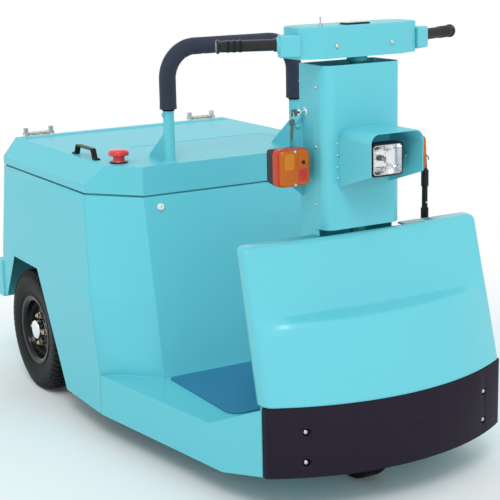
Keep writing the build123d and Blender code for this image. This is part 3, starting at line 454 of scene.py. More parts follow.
def dome(radius, height, steps=6, foot=0.0):
    """Turned profile of a low dome on an upright foot."""
    return [(0, 0), (0, radius), (foot, radius)] + [
        (foot + height * sin(pi / 2 * k / steps), radius * cos(pi / 2 * k / steps)) for k in range(1, steps)
    ] + [(foot + height, 0)]


# Places and sizes that several pieces share

DECK_Z = 210
LID_TOP_Z = 839
HOOP_X = 226
HOOP_Y = -20
HOOP_Z = 1188
HOOP_BEND_R = 95
REAR_WHEEL_X = 428
REAR_AXLE_Y = 555
REAR_AXLE_Z = 207.5
FRONT_WHEEL = Vector((0, -700, 120))
LAMP_Z = 933
SIGNAL_X = 195
SIGNAL_Z = 909
SIGNAL_FACE_Y = -694.4
BAR_TOP_Z = 1281
COLUMN_HALF = 125
HINGE_X = 325
UP = (0, 0, 1)
AHEAD = (0, -1, 0)
ALONG_X = (1, 0, 0)
ALONG_Y = (0, 1, 0)

# Screws, nuts and other small hardware


def screw(form, place, axis, radius, height, washer=0.0):
    """Domed screw head, on a thin washer where asked."""
    place, axis = Vector(place), Vector(axis).normalized()
    if washer:
        form.lathe([(0, 0), (0, washer), (1.2, washer - 0.4), (1.2, 0)], place, axis, 20)
    return form.lathe(dome(radius, height, 5, 0.8), place + axis * (1.0 if washer else 0), axis, 18)


def bolt(form, place, axis, flats, height, washer=0.0, turn=0.0):
    """Hexagon head with a chamfered crown, on a washer where asked."""
    place, axis = Vector(place), Vector(axis).normalized()
    r = flats / sqrt(3)
    if washer:
        form.lathe([(0, 0), (0, washer), (1.6, washer), (1.6, 0)], place, axis, 24)
    low = 1.4 if washer else 0
    crown = low + height
    profile = [(low, 0), (low, r), (low + height * 0.82, r), (crown, r * 0.84), (crown, 0)]
    return form.lathe(profile, place, axis, 6, turn)


# Cowl

COWL_FOOT_Z = 316
COWL_TOP_Z = 723
COWL_FOOT_HALF = 392
COWL_TOP_HALF = 386
COWL_FOOT_Y = -843
COWL_TOP_Y = -735
COWL_FLANGE = 40
COWL_CORNER = 20
COWL_TOP_ROUND = 16
COWL_WALL = 5
LEDGE_FADE_START = 285
LEDGE_FADE_WIDTH = 75
LEDGE_SPREAD = 9
COLUMN_NOTCH_HALF = 140
COLUMN_NOTCH_Y = -733

# Heights up the cowl with how far its front bulges there; the ledge is near z = 532
COWL_LEVELS = (
    (316, 109), (420, 107), (500, 101), (516, 98), (526, 91), (532, 80),
    (535, 38), (541, 27), (552, 21), (572, 19), (723, 16),
)


def cowl_row(z, inset):
    """Plan outline of the cowl's outside at a height, from one rear flange round to the other."""
    t = (z - COWL_FOOT_Z) / (COWL_TOP_Z - COWL_FOOT_Z)
    half = COWL_FOOT_HALF + (COWL_TOP_HALF - COWL_FOOT_HALF) * t - inset
    face = COWL_FOOT_Y + (COWL_TOP_Y - COWL_FOOT_Y) * t
    end, rear, corner = face + inset, face + COWL_FLANGE, COWL_CORNER

    def front(x):
        """Front of the cowl at x: an arc, its bulge averaged over more height where the ledge fades."""
        fade = min(1, max(0, (abs(x) - LEDGE_FADE_START) / LEDGE_FADE_WIDTH))
        reach = 1 + LEDGE_SPREAD * fade * fade * (3 - 2 * fade)
        samples = range(-4, 5)
        sag = sum(between(COWL_LEVELS, z + k * reach) for k in samples) / len(samples)
        radius = (half * half + sag * sag) / (2 * sag)
        return end - sag + radius - sqrt(radius * radius - x * x)

    left = [(-half, rear), (-half, (rear + end + corner) / 2)]
    leave, meet = Vector((-half, end + corner)), Vector((-half + corner, front(half - corner)))
    turn = Vector((-half, end - corner * 0.12))
    for k in range(9):
        s = k / 8
        p = leave * (1 - s) ** 2 + turn * 2 * s * (1 - s) + meet * s ** 2
        left.append((p.x, p.y))
    span = half - corner
    middle = [(x, front(x)) for x in (span * (k / 20 - 1) for k in range(1, 40))]
    return [(x, y, z) for x, y in left + middle + [(-x, y) for x, y in reversed(left)]]


def make_cowl():
    """Moulded leg shield: bulged below, a soft ledge, flatter above, with rounded upper edges."""
    heights = [316.0, 317.5, 320.5] + [325 + 12.5 * k for k in range(14)]
    heights += [498 + 3 * k for k in range(8)] + [520 + 1.5 * k for k in range(22)]
    heights += [555, 560, 566, 575] + [588 + 13.5 * k for k in range(9)] + [706]
    insets = {316.0: 3.0, 317.5: 1.0}
    rows = [cowl_row(z, insets.get(z, 0)) for z in heights]
    for k in range(1, 9):
        a = pi / 2 * k / 8
        height = COWL_TOP_Z - COWL_TOP_ROUND + COWL_TOP_ROUND * sin(a)
        rows.append(cowl_row(height, COWL_TOP_ROUND * (1 - cos(a))))
    rows[-1] = [(x, y, COWL_TOP_Z) for x, y, _ in rows[-1]]
    form = Form("cowl_paint")
    form.skin(rows)
    rear = rows[-1][0][1]
    flat = [
        (COLUMN_NOTCH_HALF, rear), (COLUMN_NOTCH_HALF, COLUMN_NOTCH_Y),
        (-COLUMN_NOTCH_HALF, COLUMN_NOTCH_Y), (-COLUMN_NOTCH_HALF, rear),
    ]
    notch = [(x, y, COWL_TOP_Z) for x, y in flat]
    form.add(rows[-1] + notch, [tuple(range(len(rows[-1]) + 4))])
    cowl = form.make("cowl_shell", "chassis", ["cowl"], crease=40)
    wall = cowl.modifiers.new("wall", "SOLIDIFY")
    wall.thickness = COWL_WALL / 1000
    wall.offset = -1


# Bumper bolts


def make_bumper_bolts():
    """Domed bolts with a small hexagon at the crown, on black discs of painted shade in the bumper's four
    seats.
    """
    form = Form("black_hollow", "zinc")
    x = -296
    for z in (164, 248):
        # Black disc of painted shade in the bolt's seat
        form.look = 0
        form.lathe([(0, 0), (0, 10.6), (1.2, 10.6), (1.2, 0)], (x, -883.4, z), AHEAD, 24)
        form.look = 1
        form.lathe(dome(7.6, 5.5, 6, 1.5), (x, -884.4, z), AHEAD, 24)
        form.lathe([(0, 0), (0, 2.2), (0.5, 2.2), (0.5, 0)], (x, -891.2, z), AHEAD, 6)
    form.mirrored()
    form.make("bumper_bolts", "chassis")


# Hip rest hoop


def hoop_path(foot_z, steps, spacing):
    """Path of the hoop from one foot over to the other."""
    corners = [(-HOOP_X, foot_z), (-HOOP_X, HOOP_Z), (HOOP_X, HOOP_Z), (HOOP_X, foot_z)]
    return curved([(x, HOOP_Y, z) for x, z in corners], HOOP_BEND_R, steps, spacing)


def make_hoop():
    """Bent tube with a bolt on each side, and a collar, a gusset and weld beads at each foot."""
    form = Form("body_paint")
    foot = LID_TOP_Z
    form.tube(hoop_path(foot, 18, 20), 17, 32)
    collar = [(0, 0), (0, 22.5), (2, 21.8), (4, 19.6), (5.5, 16.8), (5.5, 0)]
    gusset = rounded([(-16, foot), (118, foot), (118, foot + 7), (-16, foot + 107)], 4, 3)
    for side in (-1, 1):
        x = side * HOOP_X
        form.prism(gusset, (x - 2.5, 0, 0), ALONG_Y, UP, (5, 0, 0))
        form.lathe(collar, (x, HOOP_Y, foot), UP, 40)
        for out in (-2.8, 2.8):
            bead = [Vector((x + out, y, foot + 1)) for y in range(2, 118, 6)]
            form.tube(bead, lambda i, a: 2.1 + 0.5 * (i % 2), 8)
    bolt(form, (-242.4, HOOP_Y, 986), (-1, 0, 0), 13, 5)
    bolt(form, (242.4, HOOP_Y, 986), (1, 0, 0), 13, 5)
    form.make("hoop_frame", "lid", ["hoop_tube"], bevel=0.6)


def make_foam():
    """Foam sleeve, creased most where its bends meet the top, with a rolled end at each foot and a black ring
    of painted shadow just below it.
    """
    path = hoop_path(1004.5, 44, 4)

    def radius(i, a):
        bend = 1.0 if 46 < i < 92 or len(path) - 92 < i < len(path) - 46 else 0.25
        crease = max(0.0, sin(i * 0.83) * sin(i * 0.31 + 1)) ** 2
        return 25.7 - bend * crease * 1.5 * (0.6 + 0.4 * sin(a)) - 0.2 * sin(3 * a + i * 0.05)

    foam = Form("foam", "black_hollow")
    foam.tube(path, radius, 40)
    rolled_end = [(0, 0), (0, 24.6), (0.8, 26), (3, 26.2), (14, 25.9), (16, 25.5), (16, 0)]
    # Black ring just below each foam end: painted shadow on the hoop tube
    painted_shadow_ring = [(-5, 0), (-5, 18.4), (0.5, 19.2), (0.5, 0)]
    for side in (-1, 1):
        place = (side * HOOP_X, HOOP_Y, 1003)
        foam.look = 0
        foam.lathe(rolled_end, place, UP, 40)
        foam.look = 1
        foam.lathe(painted_shadow_ring, place, UP, 40)
    sleeve = foam.make("foam_sleeve", "lid", ["hoop_foam"], crease=50)


# Wheels


def make_rear_tyre(side, suffix):
    """Rear tyre: rim line on the sidewall, slanted lugs over both shoulders, two grooves round the tread."""
    # Distance from the middle, radius, and how much of the lugs' depth is cut there
    half = [
        (35.7, 104, 0), (38, 107.5, 0), (41, 112.5, 0), (43.6, 119, 0), (45.6, 125, 0), (45.8, 127, 0),
        (44.9, 128.4, 0), (46.4, 130, 0), (48.2, 138, 0), (50.4, 150, 0), (52, 162, 0), (52.5, 170, 0),
        (52, 178, 0), (51, 184, 0), (50.6, 185.5, 0.35), (50, 187.5, 1), (48, 195, 1), (45.4, 201, 1),
        (42, 205.2, 1), (38, 207, 1), (31, 207.5, 1), (19, 207.5, 1), (17.5, 207.5, 0.4), (16, 207.5, 0),
        (15.4, 201.5, 0), (11.6, 201.5, 0), (11, 207.5, 0),
    ]
    table = [(-u, r, d) for u, r, d in half] + [(u, r, d) for u, r, d in reversed(half)]
    # Places round one lug, and whether each is cut
    steps = ((0.0, 0), (0.06, 1), (0.3, 1), (0.36, 0), (0.57, 0), (0.79, 0))
    lugs = 58
    centre = Vector((side * REAR_WHEEL_X, REAR_AXLE_Y, REAR_AXLE_Z))
    rows = []
    for u, r, d in table:
        slant = 0.62 * between([(0, 0), (16, 0), (52, 1)], abs(u)) + (0.5 if u < 0 else 0)
        row = []
        for i in range(lugs):
            for f, cut in steps:
                a = 2 * pi * (i + f + slant) / lugs
                deep = cut * d
                shoulder = between([(40, 0), (50, 1)], abs(u))
                reach = r - deep * (6 - 2.5 * shoulder)
                out = u - deep * 4 * shoulder * (1 if u > 0 else -1)
                row.append(centre + Vector((out, reach * cos(a), reach * sin(a))))
        rows.append(row)
    form = Form("tyre")
    form.skin(rows, around=True)
    form.skin([rows[-1], rows[0]], around=True)
    form.make(f"tyre_rear_{suffix}", f"rear_wheel_{suffix}", [f"rear_tyre_{suffix}"], crease=32)


def make_rear_rim(side, suffix):
    """Glossy dished rim with its rolled lip, chrome hub, domed cap and four studs with brass nuts."""
    centre = Vector((side * REAR_WHEEL_X, REAR_AXLE_Y, REAR_AXLE_Z))
    axis = Vector((side, 0, 0))
    body = f"rear_wheel_{suffix}"
    form = Form("rim_paint")
    form.lathe(
        [
            (-34, 20.2), (-34, 40), (8, 40), (8, 92), (0, 97), (-40, 99), (-44, 103), (-46, 112), (-45, 117),
            (-42, 116), (-39, 109), (-36, 104.5), (36, 104.5), (39, 109), (42, 116), (44, 118.6), (46, 118),
            (46.4, 114), (44.5, 105), (41, 100.5), (34, 98), (22, 96.5), (18, 94), (16.2, 89), (15.6, 80),
            (16.4, 60), (18.5, 42), (19.5, 36), (30, 34), (30, 20.2),
        ],
        centre, axis, 96,
    )
    for k in range(4):
        a = pi / 2 * k + radians(1)
        seat = centre + Vector((0, cos(a), sin(a))) * 50
        form.lathe([(15, 0), (15, 13), (17.6, 12), (17.6, 0)], seat, axis, 24)
    form.make(f"rim_rear_{suffix}", body, [f"rear_rim_{suffix}"])
    hub = Form("chrome", "zinc", "brass")
    hub.lathe(
        [
            (20, 0), (20, 35), (22, 36), (24, 34), (31, 33.4), (40, 33), (43.5, 32), (45.8, 29.5), (47, 24),
            (47.7, 14), (48, 0),
        ],
        centre, axis, 64,
    )
    for k in range(4):
        a = pi / 2 * k + radians(1)
        place = centre + Vector((0, cos(a), sin(a))) * 48
        hub.look = 1
        hub.lathe([(15, 0), (15, 9), (25, 9), (25, 10.5), (27.4, 10.5), (27.4, 0)], place, axis, 24)
        hub.lathe([(27, 0), (27, 4.2), (40.5, 4.2), (41.5, 3), (41.5, 0)], place, axis, 16)
        hub.look = 2
        hub.lathe([(27.4, 0), (27.4, 8.6), (36, 8.6), (37.4, 7), (37.4, 0)], place, axis, 6, 0.3 * k)
    hub.make(f"hub_{suffix}", body, [f"hub_cap_{suffix}"], bevel=0.3)


def make_front_tyre():
    """Front tyre: rounded shoulders and four grooves round the tread."""
    half = [
        (25.5, 74), (29, 78), (33, 86), (36, 95), (37.5, 102), (37, 108), (35, 113.5), (32, 117.5),
        (28, 119.6), (25, 120), (24.4, 116), (21.6, 116), (21, 120), (9, 120), (8.4, 116),
        (5.6, 116), (5, 120),
    ]
    table = [(-u, r) for u, r in half] + [(u, r) for u, r in reversed(half)]
    angles = [2 * pi * i / 112 for i in range(112)]
    rows = [[FRONT_WHEEL + Vector((u, r * cos(a), r * sin(a))) for a in angles] for u, r in table]
    form = Form("tyre")
    form.skin(rows + [rows[0]], around=True)
    form.make("tyre_front", "front_wheel", ["front_tyre"])


def make_front_hardware():
    """Five bolts on each face of the front rim, and a nut on each end of its axle."""
    nuts = Form("zinc")
    for side in (-1, 1):
        for k in range(5):
            a = 2 * pi * k / 5
            place = FRONT_WHEEL + Vector((side * 10, 44 * cos(a), 44 * sin(a)))
            bolt(nuts, place, (side, 0, 0), 12, 6, 8)
    nuts.make("front_wheel_bolts", "front_wheel")
    ends = Form("zinc")
    for side in (-1, 1):
        bolt(ends, FRONT_WHEEL + Vector((side * 64, 0, 0)), (side, 0, 0), 18, 9, 12)
    ends.make("front_axle_nuts", "steering")


# Headlamp


def lamp_ring(width, height, corner, y):
    """Rounded rectangle round the headlamp's axis."""
    return [(x, y, LAMP_Z + z) for x, z in rectangle(width, height, corner, 8)]


def make_lamp_housing():
    """Black housing, nearly square, on a turned stem."""
    shell = Form("black_plastic")
    sizes = (
        (70, 56, 26, -797), (92, 78, 18, -800), (102, 88, 14, -806), (104, 90, 14, -812), (104, 90, 14, -838),
        (102.5, 88.5, 13.5, -840), (96, 82, 11, -840), (94, 80, 10, -838.5), (93.8, 79.8, 10, -804),
    )
    shell.skin([lamp_ring(*size) for size in sizes], around=True, ends=True)
    stem = [(0, 0), (0, 34), (3, 34), (3, 26), (60, 26), (64, 30), (66, 0)]
    shell.lathe(stem, (0, -735, LAMP_Z), AHEAD, 40)
    shell.make("lamp_housing", "chassis", ["headlamp_body"], crease=40)


def make_lamp_bowl():
    """Faceted bright bowl with its socket and bulb."""
    bowl = Form("chrome", "black_plastic", "bulb_glass")
    rows = []
    for k in range(9):
        s = k / 8
        size = 0.16 + 0.84 * s ** 0.55
        rows.append(lamp_ring(92.4 * size, 78.4 * size, 10 * size, -808 - 28 * s ** 1.6))
    for i, row in enumerate(rows):
        push = 1.6 if i % 2 else 0.0
        rows[i] = [(x, y + push * (1 if j % 2 else -1) * 0.6, z) for j, (x, y, z) in enumerate(row)]
    bowl.skin(rows, around=True)
    bowl.skin([lamp_ring(92.4, 78.4, 10, -836), lamp_ring(93.4, 79.4, 10, -836.6)], around=True)
    bowl.look = 1
    bowl.lathe([(0, 0), (0, 7.4), (5, 7.4), (7, 5), (7, 0)], (0, -807, LAMP_Z), AHEAD, 20)
    bowl.look = 2
    bowl.lathe([(6, 0), (6, 5), (12, 6.5), (17, 5.6), (20, 3), (21, 0)], (0, -807, LAMP_Z), AHEAD, 20)
    bowl.make("lamp_bowl", "chassis", crease=12, outward=False)


def make_lamp_front():
    """Clear domed lens, the thin rim round it, and the hood's screws."""
    lens = Form("lamp_lens")
    sizes = (
        (93.4, 79.4, 9.8, -836.6), (93.4, 79.4, 9.8, -839.4), (91.6, 77.6, 9.2, -841), (78, 64, 9, -842.6),
        (50, 38, 9, -843.7), (20, 12, 5.9, -844),
    )
    lens.skin([lamp_ring(*size) for size in sizes], around=True, ends=True)
    lens.make("lamp_glass", "chassis", ["headlamp_lens"], crease=40)
    rim = Form("zinc")
    sizes = (
        (93.6, 79.6, 10, -839.4), (93.6, 79.6, 10, -841.4), (90, 76, 9, -842), (89, 75, 8.8, -840.6),
        (93.6, 79.6, 10, -839.4),
    )
    rim.skin([lamp_ring(*size) for size in sizes], around=True)
    screw(rim, (-82, -808, LAMP_Z), (1, 0, 0), 4.5, 3)
    screw(rim, (82, -808, LAMP_Z), (-1, 0, 0), 4.5, 3)
    for z in (971, 940, 908, 877):
        rim.lathe(dome(3.4, 2.0, 4, 0.4), (-88, -736, z), (-0.5, -0.86, 0), 14)
    rim.make("lamp_trim", "chassis")


# Turn signals


def make_signal(side, suffix):
    """Lens in two fields with a step between, its sides and the step in a darker amber of painted shade, a
    darker red patch low on the right, a paler patch of painted highlight at the upper left, a dark dot and
    two screws.
    """
    centre_x = side * SIGNAL_X
    lens = Form("amber", "amber_deep", "black_plastic", "reflector", "amber_pale")

    def ring(width, height, corner, y):
        return [(centre_x + x, y, SIGNAL_Z + z) for x, z in rectangle(width, height, corner, 7)]

    def patch(width, height, corner, x, z, depth):
        outline = rectangle(width, height, corner, 4)
        lens.prism(outline, (centre_x + x, SIGNAL_FACE_Y, z), ALONG_X, UP, (0, -depth, 0))

    # Sides of the lens in the darker amber of painted shade
    lens.look = 1
    sizes = ((96, 102, 14, -655), (96, 102, 14, -660), (95, 101, 14, -676), (93.4, 99.4, 14, -686))
    lens.skin([ring(*size) for size in sizes], around=True)
    lens.look = 0
    sizes = ((93.4, 99.4, 14, -686), (90.5, 96.5, 13.5, -691), (85, 91, 12.5, -694), (76, 82, 11, -695))
    lens.skin([ring(*size) for size in sizes], around=True, ends=True)
    # Step between the fields in the darker amber of painted shade
    lens.look = 1
    lens.block((centre_x + 6.4, centre_x + 8), (-695.6, -690), (866, 952))
    # Darker red patch, low on the right
    lens.look = 3
    patch(24, 34, 5, 24, 890, 1.2)
    # Paler patch at the upper left: painted highlight
    lens.look = 4
    patch(30, 44, 8, -20, 928, 0.8)
    lens.look = 2
    lens.lathe([(0, 0), (0, 5.2), (0.9, 5.2), (0.9, 0)], (centre_x + 24, -695.2, 924), AHEAD, 18)
    stands_for = ["signal_lenses"] if side < 0 else ()
    lens.make(f"signal_lens_{suffix}", "chassis", stands_for, crease=40)
    screws = Form("zinc")
    for y, z in ((-694.6, 954), (-694.8, 865)):
        screw(screws, (centre_x - 1, y, z), AHEAD, 4.4, 2.2)
    screws.make(f"signal_screws_{suffix}", "chassis")


def make_bracket_screws():
    """Screws that hold the signals' bracket plates."""
    back = Form("body_paint")
    for z in (1010, 840):
        screw(back, (-140, -621, z), AHEAD, 5, 3.4, 7)
    back.mirrored()
    back.make("bracket_screws", "chassis")


# Key switch, lever, column and bar


def make_key():
    """Key switch with the key in it, a ring through its bow and a second key hanging from the ring."""
    form = Form("chrome", "key_metal", "black_hollow")
    y, z = -629, 1048
    barrel = [
        (-2, 0), (-2, 13), (1, 13.4), (3, 12.6), (4, 10.6), (9, 10.2), (13, 9.4), (19, 9), (20.4, 7.6),
        (20.4, 0),
    ]
    form.lathe(barrel, (-122, y, z), (-1, 0, 0), 40)
    # Black disc of painted shade in the keyway round the key
    form.look = 2
    form.lathe([(0, 0), (0, 3.4), (0.5, 3.4), (0.5, 0)], (-142.2, y, z), (-1, 0, 0), 16)
    form.look = 1
    form.block((-152, -141), (-630.2, -627.8), (1044.5, 1051.5))
    form.prism(rectangle(20, 20, 6, 5), (-157, -630.4, z), ALONG_X, UP, (0, 2.8, 0))
    form.look = 0
    angles = [2 * pi * k / 28 for k in range(29)]
    loop = [Vector((-163.5, y + 10 * sin(a), 1040 + 10.5 * cos(a))) for a in angles]
    form.tube(loop, 0.9, 8)
    form.look = 1
    form.prism(rectangle(18, 20, 8, 6), (-164, -630, 1022), ALONG_X, UP, (0, 2, 0))
    blade = [(-4, 0), (4, 0), (4, 24), (2.5, 26), (4, 29), (2, 33), (4, 37), (0, 42), (-4, 38)]
    form.prism(blade, (-165, -629.8, 1014), ALONG_X, (0, 0, -1), (0, 1.6, 0))
    form.make("key_and_switch", "chassis", ["key_switch"], bevel=0.3)


def make_lever():
    """Parking brake lever: rod with stepped sleeves, a screw between them and a clip near its top."""
    form = Form("black_plastic", "zinc")
    form.lathe(
        [
            (212, 0), (212, 15), (243, 15), (246, 12), (246, 8), (690, 8), (692, 11), (733, 11.5), (736, 8.4),
            (796, 8.4), (798, 11), (843, 11), (846, 8.6), (850, 6), (880, 4.6), (896, 3.6), (912, 3.4),
            (915, 2.4), (917, 0),
        ],
        (290, -622, 0), UP, 28,
    )
    clip = [(289, 888), (294, 886), (298, 882), (298, 874)]
    form.tube([Vector((x, -627, z)) for x, z in clip], 1.6, 8)
    form.look = 1
    screw(form, (289, -631, 751), AHEAD, 3.2, 2)
    form.make("brake_lever", "chassis", ["parking_lever"], crease=40)


def make_column_details():
    """Screws down the column's sides and down its back."""
    form = Form("zinc")
    for y, z in ((-689, 1120), (-686, 959), (-683, 803)):
        screw(form, (-COLUMN_HALF, y, z), (-1, 0, 0), 5, 3.2)
    for z in (1130, 900, 640):
        screw(form, (-118, -601, z), ALONG_Y, 5, 3.2)
    form.mirrored()
    form.make("column_screws", "chassis")


def make_bar_details():
    """Two screws in the handlebar's face, and thin black strips of painted shade along the seams where its
    end blocks start.
    """
    form = Form("zinc", "black_hollow")
    for x in (-88, 90):
        screw(form, (x, -735, 1229), AHEAD, 6.4, 4.4)
    # Thin black strips of painted shade along each seam
    form.look = 1
    for side in (-1, 1):
        seam = (side * 190 - 0.4, side * 190 + 0.4)
        form.block(seam, (-706, -670), (1255, 1256.4))
        form.block(seam, (-706, -705), (1246, 1256))
    form.make("bar_screws", "steering")


def make_dash():
    """Display with its glass and a pale strip, horn push and toggle on the handlebar's top."""
    display = Form("black_plastic", "display_glass", "lock_white")
    display.prism(rectangle(78, 34, 4, 5), (-8, -702, BAR_TOP_Z), ALONG_X, ALONG_Y, (0, 0, 4))
    display.look = 1
    display.prism(rectangle(68, 22, 3, 5), (-8, -703, 1284.8), ALONG_X, ALONG_Y, (0, 0, 1.2))
    display.look = 2
    display.prism(rectangle(54, 14, 3, 5), (-16, -672, BAR_TOP_Z), ALONG_X, ALONG_Y, (0, 0, 5))
    display.make("dash_panel", "steering", ["dash_display"], bevel=0.8)
    horn = Form("black_plastic", "lock_white")
    place = (24, -664, BAR_TOP_Z)
    horn.lathe([(0, 0), (0, 21), (2, 20.4), (3, 17), (3, 0)], place, UP, 36)
    horn.look = 1
    horn.lathe([(2, 0), (2, 16.4), (5, 16), (7.6, 13), (8.8, 8), (9, 0)], place, UP, 36)
    horn.make("horn_push", "steering", ["horn_button"])
    toggle = Form("zinc")
    place = (-113, -695, BAR_TOP_Z)
    toggle.lathe([(0, 0), (0, 7), (2.6, 7), (3.2, 6), (3.2, 4.4), (7, 4.4), (7, 2)], place, UP, 6)
    toggle.lathe([(5, 0), (5, 2.2), (14, 1.8), (20, 2.8), (23, 2.6), (24, 0)], place, UP, 16)
    toggle.make("toggle", "steering", ["toggle_switch"], bevel=0.2)


def make_grips():
    """Ribbed rubber grips with a flange at each end and three ridges near the outer one."""
    form = Form("grip_rubber")
    inner, outer = Vector((-238, -672, 1237)), Vector((-383, -613, 1237))
    along = (outer - inner).normalized()
    length = (outer - inner).length
    profile = [(-1, 0), (-1, 17.6), (3, 18), (5, 16.2)]
    at = 8.0
    while at < length - 14:
        raised = 1.4 if any(abs(at - (length - k)) < 2.6 for k in (30, 46, 62)) else 0.0
        profile += [(at - 1.5, 15 + raised), (at + 0.6, 15.5 + raised), (at + 1.6, 14.8)]
        at += 4.0
    profile += [(length - 10, 15), (length - 7, 18.2), (length - 2, 18.5), (length, 16.5), (length, 0)]
    form.lathe(profile, inner, along, 40)
    form.mirrored()
    form.make("bar_grips", "steering", ["grips"])


# Lid furniture


def make_stop():
    """Stop switch: thin black ring, stem that widens at its root, rounded red head."""
    ring = Form("black_plastic")
    place = (-355, 73, LID_TOP_Z)
    ring.lathe([(0, 0), (0, 28.5), (2.4, 28.5), (4, 27), (4, 20), (4, 0)], place, UP, 56)
    ring.make("stop_ring", "lid", ["stop_base"])
    head = Form("stop_red")
    head.lathe(
        [
            (3, 0), (3, 22), (6, 20), (11, 18.4), (19, 18), (21, 20), (22, 28), (23.5, 31.2), (26, 32),
            (32, 32), (36, 30.6), (39, 27), (41, 21), (41.8, 12), (42, 0),
        ],
        place, UP, 64,
    )
    head.make("stop_head", "lid", ["stop_button"])


def make_lid_pressing():
    """Pressed line across the lid, and the two low folds near its rear edge."""
    form = Form("body_paint")
    z = 838.9
    line = [(-194, 328, z), (300, 341, z), (324, 195, z), (334, 60, z)]
    form.tube(curved(line, 10, 6, 20), 1.5, 8)
    for y, width in ((722, 5), (752, 22)):
        fold = [(0, 0), (3, 2.4), (width - 3, 2.4), (width, 0)]
        form.prism(fold, (-400, y, z), ALONG_Y, UP, (800, 0, 0))
    form.make("lid_pressing", "lid")


def make_lid_screws():
    """Screws on the lid, on its hinges and in the handle's feet, and the hinges' raised knuckles."""
    screws = Form("zinc", "black_plastic")
    for x, y in ((-50, 210), (93, 223), (1, -30)):
        screw(screws, (x, y, LID_TOP_Z), UP, 4, 2)
    for side in (-1, 1):
        for k in (-1, 0, 1):
            screw(screws, (side * HINGE_X + 38 * k, 772, 842), UP, 5.4, 2.6)
            screw(screws, (side * HINGE_X + 38 * k, 800, 803), ALONG_Y, 5.4, 2.6)
        for end in (-1, 1):
            x = side * HINGE_X + end * 47
            screws.block((x - 7, x + 7), (786, 806), (841, 850))
            screws.block((x - 7, x + 7), (794, 806), (849, 866))
    screws.look = 1
    for y in (163, 323):
        screw(screws, (-390, y, 844), UP, 5.4, 3)
    screws.make("lid_screws", "lid")


def make_lock_trim():
    """Bright ring of the lock in the leaning front panel, and a black disc of painted shade for its keyhole.
    """
    lock = Form("chrome", "black_hollow")
    lean = Vector((0, -0.974, 0.227))
    z = 712
    panel_y = -171 + 125 * (z - DECK_Z) / 535
    face = Vector((-281, panel_y, z))
    lock.lathe([(0, 0), (0, 13.6), (1.4, 13), (1.6, 10), (1.6, 0)], face, lean, 32)
    # Keyhole: black disc of painted shade
    lock.look = 1
    lock.lathe([(0, 0), (0, 1.6), (0.3, 1.6), (0.3, 0)], face + lean * 7, lean, 12)
    lock.make("lock_trim", "chassis")


# Battery, hitch and axle


def make_battery_top():
    """Cell caps and link bars on the battery."""
    form = Form("battery_case", "zinc", "black_plastic")
    top = 638
    for i in range(6):
        for j in range(4):
            x, y = -250 + 100 * i, 240 + 100 * j
            form.look = 0
            form.prism(rectangle(94, 94, 5, 3), (x, y, top), ALONG_X, ALONG_Y, (0, 0, 9))
            form.look = 2
            form.lathe([(0, 0), (0, 13), (8, 13), (10, 11), (10, 0)], (x, y, top + 9), UP, 20)
            form.look = 1
            for dx in (-32, 32):
                form.lathe([(0, 0), (0, 8), (7, 8), (7, 0)], (x + dx, y, top + 9), UP, 14)
            if i < 5:
                form.prism(rectangle(52, 14, 5, 3), (x + 50, y, top + 16), ALONG_X, ALONG_Y, (0, 0, 4))
    form.make("battery_cells", "chassis", bevel=0.8)


def make_rear_details():
    """Bolts of the coupling plate and round the axle housing."""
    form = Form("zinc")
    for x in (-72, 72):
        for z in (296, 384):
            bolt(form, (x, 871, z), ALONG_Y, 17, 9, 13)
    for k in range(10):
        a = 2 * pi * (k + 0.5) / 10
        for side in (-1, 1):
            place = (side * 80, REAR_AXLE_Y + 82 * cos(a), REAR_AXLE_Z + 82 * sin(a))
            bolt(form, place, (side, 0, 0), 12, 7, 8)
    form.make("rear_bolts", "chassis", bevel=0.3)


def make_deck_welds():
    """Weld bead where each front wing stands on the deck, and the deck's joint line ahead of it."""
    form = Form("body_paint")
    weld = (Vector((-497, -36, 210.5)), Vector((-349, -173, 210.5)), 2.6)
    joint = (Vector((-347, -174, 209.6)), Vector((-441, -347, 209.6)), 1.2)
    for first, last, radius in (weld, joint):
        steps = round((last - first).length / 5)
        path = [first.lerp(last, k / steps) for k in range(steps + 1)]
        form.tube(path, lambda i, a: radius * (1 + 0.12 * (i % 2)), 10)
    form.mirrored()
    form.make("deck_welds", "chassis")


def make_seal():
    """Lip of sheet set back in the gap under the lid."""
    form = Form("body_paint")
    outer = [(-452, 786), (-452, 106), (-328, -38), (328, -38), (452, 106), (452, 786)]
    inner = [(x * 0.985, y + 4) for x, y in outer]
    levels = ((outer, 742), (outer, 752.5), (inner, 752.5), (inner, 742))
    form.skin([[(x, y, z) for x, y in outline] for outline, z in levels])
    form.make("seam_lip", "chassis")


make_cowl()
make_deck_welds()
make_seal()
make_bumper_bolts()
make_hoop()
make_foam()
for side, suffix in ((-1, "right"), (1, "left")):
    make_rear_tyre(side, suffix)
    make_rear_rim(side, suffix)
make_front_tyre()
make_front_hardware()
make_lamp_housing()
make_lamp_bowl()
make_lamp_front()
for side, suffix in ((-1, "right"), (1, "left")):
    make_signal(side, suffix)
make_bracket_screws()
make_key()
make_lever()
make_column_details()
make_bar_details()
make_dash()
make_grips()
make_stop()
make_lid_pressing()
make_lid_screws()
make_lock_trim()
make_battery_top()
make_rear_details()

# Floor, surroundings and light


FLOOR_REACH = 60
FLOOR_COLOUR = (0.9, 0.9, 0.9)
FLOOR_WHITE_FROM = 1.2
FLOOR_WHITE_AT = 2.2
WHITE = (1, 1, 1, 1)


